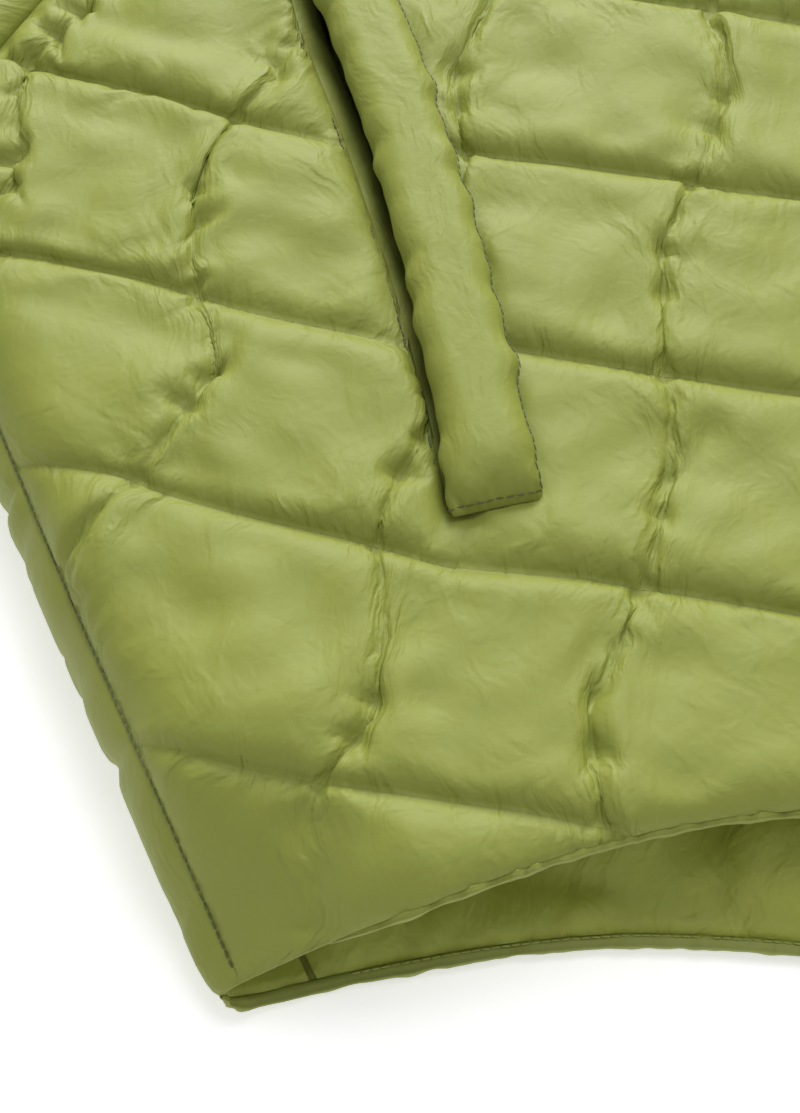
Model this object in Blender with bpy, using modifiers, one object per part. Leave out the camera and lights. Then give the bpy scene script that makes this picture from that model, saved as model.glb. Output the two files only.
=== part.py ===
"""Block-quilted down jacket, unzipped and lying on its back.

Frame: +Z up from the floor, +Y from hem to collar, -X the wearer's right side.
Every fabric panel is a sandwich of three closed sheets: an outer shell, a down
fill and a lining. The front and back panels share one flattened tube, rounded
along the side and shoulder seams and open at the hem, the neck and the sleeves.
"""
import math

import bmesh
import bpy
from mathutils import Matrix, Vector

# Driving sizes, in metres
THICKNESS = 0.050            # height of the flattened body tube
FRONT_GAP = 0.060            # distance between the two open front edges
CORNER_X = 0.2385            # outline at the hem corner
CORNER_Y = 0.0156
UNDERARM_X = 0.378
UNDERARM_Y = 0.222
SIDE_BEND_X = 0.3523         # where the straight lower side starts to turn up
SIDE_BEND_Y = 0.1667
SHOULDER_X = 0.270
SHOULDER_Y = 0.535
NECK_X = 0.088
NECK_Y = 0.600
BACK_NECK_Y = 0.567
FRONT_NECK_Y = 0.515
BACK_HEM_RISE = 0.030        # the hem lifts from the side corner to the centre back
FRONT_HEM_RISE = 0.0575
HEM_BAND = 0.006
SLEEVE_LENGTH = 0.420
SLEEVE_DROP = math.radians(30)
CUFF_WIDTH = 0.130
CUFF_THICKNESS = 0.040
CUFF_BAND = 0.012
COLLAR_HEIGHT = 0.062
SEAM_ANGLE = math.radians(46)

# Sheets
SHELL = 0.0008
FILL = 0.013
LINING = 0.0006
SHEET_GAP = 0.0003
HEM_FILL_SHARE = 0.35        # how much loft is left at the stitched edges
EDGE_FILL_SHARE = 0.45
END_GAP = 0.0005
COLLAR_GAP = 0.0010
SEAM_WELD = 0.00005          # the two mirrored halves of a piece join within this
BAND_COLOUR = (0.28, 0.32, 0.07)

# Hand pockets
WELT_WIDTH = 0.023
WELT_LENGTH = 0.200
WELT_HEIGHT = 0.0085
WELT_LEAN = math.radians(23.6)
WELT_FOOT_X = 0.1846         # lower end of the sewn inner edge
WELT_FOOT_Y = 0.1458
WELT_SKIN = 0.0006
SLIT_WIDTH = 0.007
SLIT_LENGTH = 0.182
BAG_DEPTH = 0.0088
BAG_WALL = 0.0006
BAG_LENGTH = 0.205
BAG_REACH = 0.190
BAG_SET_BACK = 0.055         # the pouch stops this far short of its full reach behind the welt
BAG_MARGIN = 0.006           # beyond the slit's outer edge
SLIT_CUT_UNDER = 0.002       # how far the cut runs past the panel below and above
SLIT_CUT_OVER = 0.004

# Zip
TAPE_WIDTH = 0.0108
TAPE_THICKNESS = 0.0008
COIL_WIDTH = 0.0026
COIL_HEIGHT = 0.0024
SLIDER_WIDTH = 0.0085
SLIDER_LENGTH = 0.0115
SLIDER_HEIGHT = 0.0058
SLIDER_PLAY = 0.0003
PULL_LENGTH = 0.024
PULL_WIDTH = 0.0056
PULL_THICKNESS = 0.0014
BAIL_WIRE = 0.0013
PULL_BAR = 0.0013
ZIP_INSET = 0.004            # from the hem and the collar's top edge to the tape's ends
STOP_LENGTH = 0.004
STOP_PROUD = 0.0006
BOX_LENGTH = 0.007
BOX_WIDTH = 0.0052
BOX_HEIGHT = 0.0042
PIN_LENGTH = 0.012
PIN_WIDTH = 0.0018
SLIDER_PARK = 0.002          # the open slider rests this far above its box
SLIDER_ROUNDING = 0.0009
PULL_ROUNDING = 0.0003
SMALL_ROUNDING = 0.0004
BOX_ROUNDING = 0.0005
COIL_CLEAR = 0.0003

# Neck trim
LOOP_WIRE = 0.0014
LOOP_HALF_WIDTH = 0.030
LOOP_SAG = 0.016
LOOP_DROP = 0.010            # below the back neck edge
LOOP_LIE = 0.0018            # cord centre above the lining
LOOP_ARCH = 0.002
LABEL_WIDTH = 0.046
LABEL_LENGTH = 0.026
LABEL_THICKNESS = 0.0006
LABEL_DROP = 0.052
PIVOT_CLEAR = 0.0011

RADIUS = THICKNESS / 2
EDGE_X = FRONT_GAP / 2
LINING_OFF = SHELL + SHEET_GAP + FILL + SHEET_GAP
SANDWICH = LINING_OFF + LINING

ROWS = (0.0, 0.03, 0.09, 0.18, 0.29, 0.42, 0.56, 0.70, 0.85, 1.0)
ROW_UNDERARM = 5
COLUMNS = (0.0, 0.05, 0.11, 0.17, 0.24, 0.32, 0.46, 0.60, 0.75, 0.88, 1.0)
COLUMN_NECK = 5
ARC_STEPS = 4

parts = bpy.data.collections.new("quilted_down_jacket")
tools = bpy.data.collections.new("cutters")


def clear_scene():
    for obj in list(bpy.data.objects):
        bpy.data.objects.remove(obj, do_unlink=True)


def make_material(name, colour, roughness, metallic=0.0):
    material = bpy.data.materials.new(name)
    material.use_nodes = True
    shader = material.node_tree.nodes["Principled BSDF"]
    shader.inputs["Base Color"].default_value = (*colour, 1.0)
    shader.inputs["Roughness"].default_value = roughness
    shader.inputs["Metallic"].default_value = metallic
    return material


def add_object(name, mesh, colour, roughness, metallic=0.0, smooth=True):
    obj = bpy.data.objects.new(name, mesh)
    parts.objects.link(obj)
    mesh.materials.append(make_material(name, colour, roughness, metallic))
    for face in mesh.polygons:
        face.use_smooth = smooth
    if smooth:
        mesh.set_sharp_from_angle(angle=math.radians(40))
    return obj


def slab(name, outer, inner, quads):
    """Close two matching point sheets into one thick sheet.

    Every quad is split along the same diagonal, so that neighbouring sheets stay parallel.
    """
    bm = bmesh.new()
    top = [bm.verts.new(point) for point in outer]
    bottom = [bm.verts.new(point) for point in inner]
    used = set()
    for quad in quads:
        used.update((quad[i], quad[(i + 1) % 4]) for i in range(4))
        for corners in ((quad[0], quad[1], quad[2]), (quad[0], quad[2], quad[3])):
            bm.faces.new([top[i] for i in corners])
            bm.faces.new([bottom[i] for i in reversed(corners)])
    for a, b in used:
        if (b, a) not in used:
            bm.faces.new([top[b], top[a], bottom[a], bottom[b]])
    for vert in [v for v in bm.verts if not v.link_faces]:
        bm.verts.remove(vert)
    bmesh.ops.recalc_face_normals(bm, faces=bm.faces)
    mesh = bpy.data.meshes.new(name)
    bm.to_mesh(mesh)
    bm.free()
    return mesh


def box_mesh(name, size, centre):
    bm = bmesh.new()
    bmesh.ops.create_cube(bm, size=1.0)
    bmesh.ops.scale(bm, vec=size, verts=bm.verts)
    bmesh.ops.translate(bm, vec=centre, verts=bm.verts)
    mesh = bpy.data.meshes.new(name)
    bm.to_mesh(mesh)
    bm.free()
    return mesh


def mirror_points(points):
    return [Vector((-p.x, p.y, p.z)) for p in points]


def add_cutter(name, mesh):
    cutter = bpy.data.objects.new(name, mesh)
    tools.objects.link(cutter)
    cutter.display_type = "WIRE"
    cutter.hide_render = True
    return cutter


def cut(obj, cutter):
    modifier = obj.modifiers.new("cut_" + cutter.name, "BOOLEAN")
    modifier.operation = "DIFFERENCE"
    modifier.solver = "EXACT"
    modifier.object = cutter


# Plan shape of the right half, x negative

def mix(a, b, t):
    return a + (b - a) * t


CORNER = Vector((-CORNER_X, CORNER_Y))
UNDERARM = Vector((-UNDERARM_X, UNDERARM_Y))
SIDE_BEND = Vector((-SIDE_BEND_X, SIDE_BEND_Y))
SHOULDER = Vector((-SHOULDER_X, SHOULDER_Y))
NECK = Vector((-NECK_X, NECK_Y))
ARMHOLE = (SHOULDER - UNDERARM).normalized()
OUTWARD = Vector((-ARMHOLE.y, ARMHOLE.x))
HEM_INWARD = Vector((0.87, 0.49)).normalized()
HEM_END = CORNER + HEM_INWARD * RADIUS


def side_point(t):
    """Outermost line of the side, from the hem corner to the underarm."""
    return mix(mix(CORNER, SIDE_BEND, t), mix(SIDE_BEND, UNDERARM, t), t)


def side_inward(t):
    return mix(HEM_INWARD, ARMHOLE, t).normalized()


def shoulder_point(t):
    return mix(NECK, SHOULDER, t)


def shoulder_inward(t):
    return mix(Vector((0.0, -1.0)), -ARMHOLE, t).normalized()


def hem_y(x, rise, power):
    share = min(abs(x / HEM_END.x), 1.0)
    return HEM_END.y + rise * (1.0 - share ** power)


def back_hem(x):
    return hem_y(x, BACK_HEM_RISE, 3.2)


def front_hem(x):
    return hem_y(x, FRONT_HEM_RISE, 1.9)


def neck_inner():
    return shoulder_point(0.0) + shoulder_inward(0.0) * RADIUS


def neckline(x, centre_x, centre_y):
    """Neck edge of a panel between its centre edge and the neck point."""
    side = neck_inner()
    share = (x - centre_x) / (side.x - centre_x)
    return centre_y + (side.y - centre_y) * share ** 1.6


def plan_point(u, v, edge_x, hem, neck_centre_y):
    """Point of the flat part of a panel: u outward from its centre edge, v up from the hem."""
    v_under = ROWS[ROW_UNDERARM]
    u_neck = COLUMNS[COLUMN_NECK]

    def bottom(s):
        x = mix(-edge_x, HEM_END.x, s)
        return Vector((x, hem(x)))

    def top(s):
        if s <= u_neck:
            x = mix(-edge_x, neck_inner().x, s / u_neck)
            return Vector((x, neckline(x, -edge_x, neck_centre_y)))
        t = (s - u_neck) / (1.0 - u_neck)
        return shoulder_point(t) + shoulder_inward(t) * RADIUS

    def left(s):
        return mix(bottom(0.0), top(0.0), s)

    def right(s):
        if s <= v_under:
            t = s / v_under
            return side_point(t) + side_inward(t) * RADIUS
        return mix(right(v_under), top(1.0), (s - v_under) / (1.0 - v_under))

    ruled_v = mix(bottom(u), top(u), v)
    ruled_u = mix(left(v), right(v), u)
    corners = mix(mix(bottom(0.0), bottom(1.0), u), mix(top(0.0), top(1.0), u), v)
    return ruled_v + ruled_u - corners


def loft_share(u, v, taper_edge):
    """Share of the loft left near the stitched hem and front edge."""
    share = min(1.0, mix(HEM_FILL_SHARE, 1.0, min(v / ROWS[2], 1.0)))
    if taper_edge:
        share = min(share, mix(EDGE_FILL_SHARE, 1.0, min(u / COLUMNS[2], 1.0)))
    return share


def panel_sheet(side, depth, taper_edge):
    """Points and quads of one sheet. side is +1 for a front, -1 for the back."""
    edge_x = EDGE_X if side > 0 else 0.0
    hem = front_hem if side > 0 else back_hem
    neck_y = FRONT_NECK_Y if side > 0 else BACK_NECK_Y
    seam_gap = END_GAP / RADIUS / 2
    seam = SEAM_ANGLE + seam_gap * side
    points = []
    index = {}

    def add(key, plan, z):
        index[key] = len(points)
        points.append(Vector((plan.x, plan.y, z)))

    def radius_at(u, v):
        return RADIUS - depth(loft_share(u, v, taper_edge))

    def arc(key, start, inward, radius):
        for k in range(1, ARC_STEPS + 1):
            angle = mix(side * math.pi / 2, seam, k / ARC_STEPS)
            plan = start + inward * (RADIUS - radius * math.cos(angle))
            add((*key, k), plan, RADIUS + radius * math.sin(angle))

    for j, v in enumerate(ROWS):
        for i, u in enumerate(COLUMNS):
            plan = plan_point(u, v, edge_x, hem, neck_y)
            add((i, j, 0), plan, RADIUS + side * radius_at(u, v))
    last = len(COLUMNS) - 1
    top = len(ROWS) - 1
    for j in range(ROW_UNDERARM + 1):
        t = ROWS[j] / ROWS[ROW_UNDERARM]
        arc(("side", j), side_point(t), side_inward(t), radius_at(1.0, ROWS[j]))
        index[("side", j, 0)] = index[(last, j, 0)]
    for i in range(COLUMN_NECK, last + 1):
        t = (COLUMNS[i] - COLUMNS[COLUMN_NECK]) / (1.0 - COLUMNS[COLUMN_NECK])
        arc(("shoulder", i), shoulder_point(t), shoulder_inward(t), radius_at(COLUMNS[i], 1.0))
        index[("shoulder", i, 0)] = index[(i, top, 0)]

    quads = []
    for j in range(top):
        for i in range(last):
            quads.append([index[(i, j, 0)], index[(i, j + 1, 0)],
                          index[(i + 1, j + 1, 0)], index[(i + 1, j, 0)]])
    for j in range(ROW_UNDERARM):
        for k in range(ARC_STEPS):
            quads.append([index[("side", j, k)], index[("side", j + 1, k)],
                          index[("side", j + 1, k + 1)], index[("side", j, k + 1)]])
    for i in range(COLUMN_NECK, last):
        for k in range(ARC_STEPS):
            quads.append([index[("shoulder", i, k)], index[("shoulder", i, k + 1)],
                          index[("shoulder", i + 1, k + 1)], index[("shoulder", i + 1, k)]])
    return points, quads, index


LAYERS = {
    "shell": (lambda share: 0.0, lambda share: SHELL),
    "fill": (lambda share: SHELL + SHEET_GAP, lambda share: SHELL + SHEET_GAP + FILL * share),
    "lining": (lambda share: LINING_OFF - FILL * (1 - share),
               lambda share: SANDWICH - FILL * (1 - share)),
}
COLOURS = {
    "shell": ((0.36, 0.41, 0.10), 0.42),
    "fill": ((0.88, 0.87, 0.82), 0.95),
    "lining": ((0.30, 0.34, 0.08), 0.38),
}


def add_back():
    for layer, (outer, inner) in LAYERS.items():
        low, quads, index = panel_sheet(-1, outer, False)
        high, _, _ = panel_sheet(-1, inner, False)
        name = "back_" + layer
        bm = bmesh.new()
        bm.from_mesh(slab(name, low, high, quads))
        middle = [f for f in bm.faces if all(abs(v.co.x) < 1e-6 for v in f.verts)]
        bmesh.ops.delete(bm, geom=middle, context="FACES_ONLY")
        mesh = bpy.data.meshes.new(name)
        bm.to_mesh(mesh)
        bm.free()
        colour, roughness = COLOURS[layer]
        obj = add_object(name, mesh, colour, roughness)
        mirror = obj.modifiers.new("mirror", "MIRROR")
        mirror.use_axis[0] = True
        mirror.merge_threshold = SEAM_WELD


def add_front(side_name, flip, cutter):
    for layer, (outer, inner) in LAYERS.items():
        high, quads, index = panel_sheet(1, outer, True)
        low, _, _ = panel_sheet(1, inner, True)
        if flip:
            high = mirror_points(high)
            low = mirror_points(low)
        name = f"front_{side_name}_{layer}"
        colour, roughness = COLOURS[layer]
        obj = add_object(name, slab(name, high, low, quads), colour, roughness)
        cut(obj, cutter)


# Sleeves

def sleeve_frame(t):
    """Both ends and the half height of the sleeve's flattened section."""
    start = OUTWARD * END_GAP
    direction = Vector((-math.cos(SLEEVE_DROP), -math.sin(SLEEVE_DROP)))
    across = Vector((direction.y, -direction.x))
    middle = (UNDERARM + SHOULDER) / 2
    cuff = middle + direction * SLEEVE_LENGTH
    low = mix(UNDERARM + start, cuff - across * CUFF_WIDTH / 2, t)
    high = mix(SHOULDER + start, cuff + across * CUFF_WIDTH / 2, t)
    return low, high, mix(RADIUS, CUFF_THICKNESS / 2, t)


def sleeve_ring(low, high, half, depth):
    """Closed section of a flattened tube, inset by depth."""
    along = (high - low).normalized()
    radius = half - depth
    ring = []
    for end, sign in ((high, 1), (low, -1)):
        for k in range(7):
            angle = math.radians(-90 + 30 * k) * sign
            plan = end - along * sign * (half - radius * math.cos(angle))
            ring.append(Vector((plan.x, plan.y, half + radius * math.sin(angle))))
        other = low if sign > 0 else high
        start = end - along * sign * half
        stop = other + along * sign * half
        for k in range(1, 4):
            plan = mix(start, stop, k / 4)
            ring.append(Vector((plan.x, plan.y, half + sign * radius)))
    return ring


def tube_quads(rings, size):
    quads = []
    for j in range(rings - 1):
        for i in range(size):
            n = (i + 1) % size
            quads.append([j * size + i, j * size + n, (j + 1) * size + n, (j + 1) * size + i])
    return quads


SLEEVE_STATIONS = (0.0, 0.12, 0.28, 0.46, 0.64, 0.82, 0.96, 1.0)


def sleeve_points(depth):
    points = []
    for t in SLEEVE_STATIONS:
        share = mix(1.0, HEM_FILL_SHARE, max(0.0, (t - 0.82) / 0.18))
        points += sleeve_ring(*sleeve_frame(t), depth(share))
    return points


def add_sleeve(side_name, flip):
    size = len(sleeve_ring(*sleeve_frame(0.0), 0.0))
    quads = tube_quads(len(SLEEVE_STATIONS), size)
    for layer, (outer, inner) in LAYERS.items():
        out = sleeve_points(outer)
        ins = sleeve_points(inner)
        if flip:
            out = mirror_points(out)
            ins = mirror_points(ins)
        name = f"sleeve_{side_name}_{layer}"
        colour, roughness = COLOURS[layer]
        add_object(name, slab(name, out, ins, quads), colour, roughness)


def add_cuff(side_name, flip):
    low, high, half = sleeve_frame(1.0)
    direction = Vector((-math.cos(SLEEVE_DROP), -math.sin(SLEEVE_DROP)))
    depth = SANDWICH - FILL * (1 - HEM_FILL_SHARE)
    out = []
    ins = []
    for step in (END_GAP, CUFF_BAND / 2, CUFF_BAND):
        shift = direction * step
        out += sleeve_ring(low + shift, high + shift, half, SHELL / 2)
        ins += sleeve_ring(low + shift, high + shift, half, depth)
    size = len(out) // 3
    if flip:
        out = mirror_points(out)
        ins = mirror_points(ins)
    name = f"cuff_band_{side_name}"
    add_object(name, slab(name, out, ins, tube_quads(3, size)), BAND_COLOUR, 0.6)


# Collar: a band round the neck, open at the front edges

COLLAR_SLOTS = 26


def collar_route(t, depth):
    """Point of the collar's section in x and z, t from the right front edge round to the left."""
    radius = RADIUS - depth
    bend_x = NECK_X - END_GAP - RADIUS
    flat_front = bend_x - EDGE_X
    flat_back = 2 * bend_x
    arc = math.pi * RADIUS
    total = 2 * flat_front + flat_back + 2 * arc
    way = t * total
    if way > total / 2:
        x, z = collar_route(1.0 - t, depth)
        return -x, z
    if way < flat_front:
        return -EDGE_X - way, RADIUS + radius
    if way < flat_front + arc:
        angle = (way - flat_front) / RADIUS
        return -bend_x - radius * math.sin(angle), RADIUS + radius * math.cos(angle)
    return -bend_x + (way - flat_front - arc), RADIUS - radius


def stitched_neckline(x, edge_x, centre_y):
    """The panels' neck edge, which runs straight between their own columns."""
    stops = [mix(-edge_x, neck_inner().x, c / COLUMNS[COLUMN_NECK]) for c in COLUMNS[:COLUMN_NECK + 1]]
    for a, b in zip(stops, stops[1:]):
        if x >= b - 1e-9:
            share = (x - a) / (b - a)
            return mix(neckline(a, -edge_x, centre_y), neckline(b, -edge_x, centre_y), share)
    return neck_inner().y


def collar_foot(t):
    """Neckline height where the collar starts."""
    x, z = collar_route(t, 0.0)
    front = stitched_neckline(-max(abs(x), EDGE_X), EDGE_X, FRONT_NECK_Y)
    back = stitched_neckline(-abs(x), 0.0, BACK_NECK_Y)
    if z > THICKNESS - 0.001:
        return front
    if z < 0.001:
        return back
    return max(front, back)


def collar_points(depth):
    points = []
    for j, rise in enumerate((0.0, 0.25, 0.6, 0.92, 1.0)):
        share = mix(1.0, HEM_FILL_SHARE, max(0.0, (rise - 0.6) / 0.4))
        for k in range(COLLAR_SLOTS + 1):
            t = k / COLLAR_SLOTS
            edge = min(t, 1.0 - t) * COLLAR_SLOTS
            here = min(share, mix(EDGE_FILL_SHARE, 1.0, min(edge / 2, 1.0)))
            x, z = collar_route(t, depth(here))
            points.append(Vector((x, collar_foot(t) + COLLAR_GAP + rise * COLLAR_HEIGHT, z)))
    return points


def grid_quads(rows, columns):
    quads = []
    for j in range(rows - 1):
        for i in range(columns - 1):
            a = j * columns + i
            quads.append([a, a + 1, a + columns + 1, a + columns])
    return quads


def add_collar():
    quads = grid_quads(5, COLLAR_SLOTS + 1)
    for layer, (outer, inner) in LAYERS.items():
        name = "collar_" + layer
        colour, roughness = COLOURS[layer]
        mesh = slab(name, collar_points(outer), collar_points(inner), quads)
        add_object(name, mesh, colour, roughness)


# Hem bands

def band_sheet(side, depth):
    """Two rows of points along a hem: the panel's own edge and the band's free edge."""
    points, _, index = panel_sheet(side, depth, side > 0)
    keys = [(i, 0, 0) for i in range(len(COLUMNS))]
    keys += [("side", 0, k) for k in range(1, ARC_STEPS + 1)]
    row = [points[index[key]] for key in keys]
    rows = []
    for step in (END_GAP, HEM_BAND):
        for i, point in enumerate(row):
            share = min(1.0, max(0.0, (abs(point.x) - 0.1) / 0.12))
            turn = HEM_INWARD.copy()
            down = mix(Vector((0.0, -1.0)), Vector((turn.y, -turn.x)), share).normalized()
            rows.append(Vector((point.x + down.x * step, point.y + down.y * step, point.z)))
    return rows, grid_quads(2, len(row))


def add_hem_band(name, side, flip):
    thick = SANDWICH - FILL * (1 - HEM_FILL_SHARE)
    high, quads = band_sheet(side, lambda share: SHELL / 2)
    low, _ = band_sheet(side, lambda share: thick)
    colour = BAND_COLOUR
    if side > 0:
        if flip:
            high = mirror_points(high)
            low = mirror_points(low)
        add_object(name, slab(name, high, low, quads), colour, 0.5)
        return
    bm = bmesh.new()
    bm.from_mesh(slab(name, high, low, quads))
    middle = [f for f in bm.faces if all(abs(v.co.x) < 1e-6 for v in f.verts)]
    bmesh.ops.delete(bm, geom=middle, context="FACES_ONLY")
    mesh = bpy.data.meshes.new(name)
    bm.to_mesh(mesh)
    bm.free()
    obj = add_object(name, mesh, colour, 0.5)
    mirror = obj.modifiers.new("mirror", "MIRROR")
    mirror.use_axis[0] = True
    mirror.merge_threshold = SEAM_WELD


# Hand pockets

WELT_FOOT = Vector((-WELT_FOOT_X, WELT_FOOT_Y))
WELT_ALONG = Vector((-math.sin(WELT_LEAN), math.cos(WELT_LEAN)))
WELT_ACROSS = Vector((-math.cos(WELT_LEAN), -math.sin(WELT_LEAN)))
WELT_REST = THICKNESS + END_GAP


def welt_point(along, across, z):
    plan = WELT_FOOT + WELT_ALONG * along + WELT_ACROSS * across
    return Vector((plan.x, plan.y, z))


def slanted_box(name, along, across, low, high):
    """A box that follows the pocket's slant, from ranges along, across and up."""
    bm = bmesh.new()
    bmesh.ops.create_cube(bm, size=1.0)
    for vert in bm.verts:
        a = along[0] if vert.co.y < 0 else along[1]
        b = across[0] if vert.co.x < 0 else across[1]
        vert.co = welt_point(a, b, low if vert.co.z < 0 else high)
    bm.normal_update()
    bmesh.ops.recalc_face_normals(bm, faces=bm.faces)
    mesh = bpy.data.meshes.new(name)
    bm.to_mesh(mesh)
    bm.free()
    return mesh


def mirror_mesh(mesh):
    bm = bmesh.new()
    bm.from_mesh(mesh)
    bmesh.ops.scale(bm, vec=(-1.0, 1.0, 1.0), verts=bm.verts)
    bm.normal_update()
    bmesh.ops.recalc_face_normals(bm, faces=bm.faces)
    bm.to_mesh(mesh)
    bm.free()
    return mesh


def slit_cutter(side_name, flip):
    start = (WELT_LENGTH - SLIT_LENGTH) / 2
    mesh = slanted_box("slit_" + side_name, (start, start + SLIT_LENGTH),
                       (WELT_WIDTH + END_GAP, WELT_WIDTH + END_GAP + SLIT_WIDTH),
                       THICKNESS - SANDWICH - SHEET_GAP - SLIT_CUT_UNDER, THICKNESS + SLIT_CUT_OVER)
    if flip:
        mesh = mirror_mesh(mesh)
    return add_cutter("slit_" + side_name, mesh)


WELT_SECTION = 12


def welt_section(along, inset, closed):
    """Section of the padded welt: flat below, crowned above, sewn edge first."""
    ring = []
    for k in range(WELT_SECTION + 1):
        angle = math.pi * k / WELT_SECTION
        across = WELT_WIDTH / 2 - (WELT_WIDTH / 2 - inset) * math.cos(angle)
        crown = math.sin(angle) ** 0.55
        z = WELT_REST + inset + (WELT_HEIGHT - 2 * inset) * crown
        ring.append(welt_point(along, across, z))
    if closed:
        return ring
    for k in range(1, 5):
        across = mix(WELT_WIDTH - inset, WELT_SKIN * 2.5, k / 4)
        ring.append(welt_point(along, across, WELT_REST + inset))
    return ring


def add_welt(side_name, flip):
    """The welt's skin is one strip folded over its padding and sewn down at the inner edge."""
    stations = (0.0, 0.25, 0.5, 0.75, 1.0)
    outer = []
    inner = []
    pad = []
    margin = WELT_SKIN + SHEET_GAP
    for t in stations:
        outer += welt_section(t * WELT_LENGTH, 0.0, False)
        inner += welt_section(t * WELT_LENGTH, WELT_SKIN, False)
        pad += welt_section(mix(margin, WELT_LENGTH - margin, t), margin, True)
    size = len(outer) // len(stations)
    if flip:
        outer = mirror_points(outer)
        inner = mirror_points(inner)
        pad = mirror_points(pad)
    skin_quads = grid_quads(len(stations), size)
    colour, roughness = COLOURS["shell"]
    name = f"pocket_welt_{side_name}_shell"
    skin = add_object(name, slab(name, outer, inner, skin_quads), colour, roughness)
    name = f"pocket_welt_{side_name}_fill"
    bm = bmesh.new()
    verts = [bm.verts.new(p) for p in pad]
    ring = WELT_SECTION + 1
    for quad in tube_quads(len(stations), ring):
        bm.faces.new([verts[i] for i in quad])
    bm.faces.new(verts[:ring])
    bm.faces.new(list(reversed(verts[-ring:])))
    bmesh.ops.recalc_face_normals(bm, faces=bm.faces)
    mesh = bpy.data.meshes.new(name)
    bm.to_mesh(mesh)
    bm.free()
    colour, roughness = COLOURS["fill"]
    core = add_object(name, mesh, colour, roughness)
    pivot = bpy.data.objects.new(f"pocket_welt_{side_name}_pivot", None)
    parts.objects.link(pivot)
    sign = -1.0 if flip else 1.0
    pivot.location = (sign * WELT_FOOT.x, WELT_FOOT.y, WELT_REST)
    for obj in (skin, core):
        obj.data.transform(Matrix.Translation(-Vector(pivot.location)))
        obj.parent = pivot


def add_pocket_bag(side_name, flip, cutter):
    """A flat hollow pouch under the lining, reached through the slit."""
    start = (WELT_LENGTH - BAG_LENGTH) / 2
    high = THICKNESS - SANDWICH - SHEET_GAP
    across = (-BAG_REACH + WELT_WIDTH + BAG_SET_BACK, WELT_WIDTH + SLIT_WIDTH + BAG_MARGIN)
    name = "pocket_bag_" + side_name
    mesh = slanted_box(name, (start, start + BAG_LENGTH), across, high - BAG_DEPTH, high)
    hollow = slanted_box(name + "_inside", (start + BAG_WALL, start + BAG_LENGTH - BAG_WALL),
                         (across[0] + BAG_WALL, across[1] - BAG_WALL),
                         high - BAG_DEPTH + BAG_WALL, high - BAG_WALL)
    if flip:
        mesh = mirror_mesh(mesh)
        hollow = mirror_mesh(hollow)
    obj = add_object(name, mesh, (0.24, 0.27, 0.08), 0.6, smooth=False)
    cut(obj, add_cutter(name + "_inside", hollow))
    cut(obj, cutter)


# Zip

ZIP_Z = THICKNESS - SANDWICH * EDGE_FILL_SHARE / 2
TAPE_IN = EDGE_X - END_GAP
TAPE_OUT = TAPE_IN - TAPE_WIDTH
ZIP_FOOT = front_hem(EDGE_X) + ZIP_INSET
ZIP_HEAD = FRONT_NECK_Y + COLLAR_HEIGHT - ZIP_INSET
COIL_X = TAPE_OUT - COIL_WIDTH / 2 - COIL_CLEAR
METAL = (0.55, 0.55, 0.52)


def add_box(name, size, centre, colour, roughness, metallic=0.0, bevel=0.0):
    obj = add_object(name, box_mesh(name, size, (0, 0, 0)), colour, roughness, metallic, smooth=False)
    obj.location = centre
    if bevel:
        modifier = obj.modifiers.new("round", "BEVEL")
        modifier.width = bevel
        modifier.segments = 2
    return obj


def add_zip_side(side_name, sign):
    middle = (ZIP_FOOT + ZIP_HEAD) / 2
    length = ZIP_HEAD - ZIP_FOOT
    tape_x = sign * (TAPE_IN + TAPE_OUT) / 2
    add_box("zip_tape_" + side_name, (TAPE_WIDTH, length, TAPE_THICKNESS),
            (tape_x, middle, ZIP_Z), (0.20, 0.24, 0.06), 0.8)
    add_box("zip_coil_" + side_name, (COIL_WIDTH, length - 2 * STOP_LENGTH, COIL_HEIGHT),
            (sign * COIL_X, middle, ZIP_Z), (0.22, 0.26, 0.07), 0.45)
    add_box("zip_top_stop_" + side_name, (COIL_WIDTH, STOP_LENGTH - END_GAP, COIL_HEIGHT + STOP_PROUD),
            (sign * COIL_X, ZIP_HEAD - STOP_LENGTH / 2 + END_GAP / 2, ZIP_Z),
            METAL, 0.35, 1.0, SMALL_ROUNDING)


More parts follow.
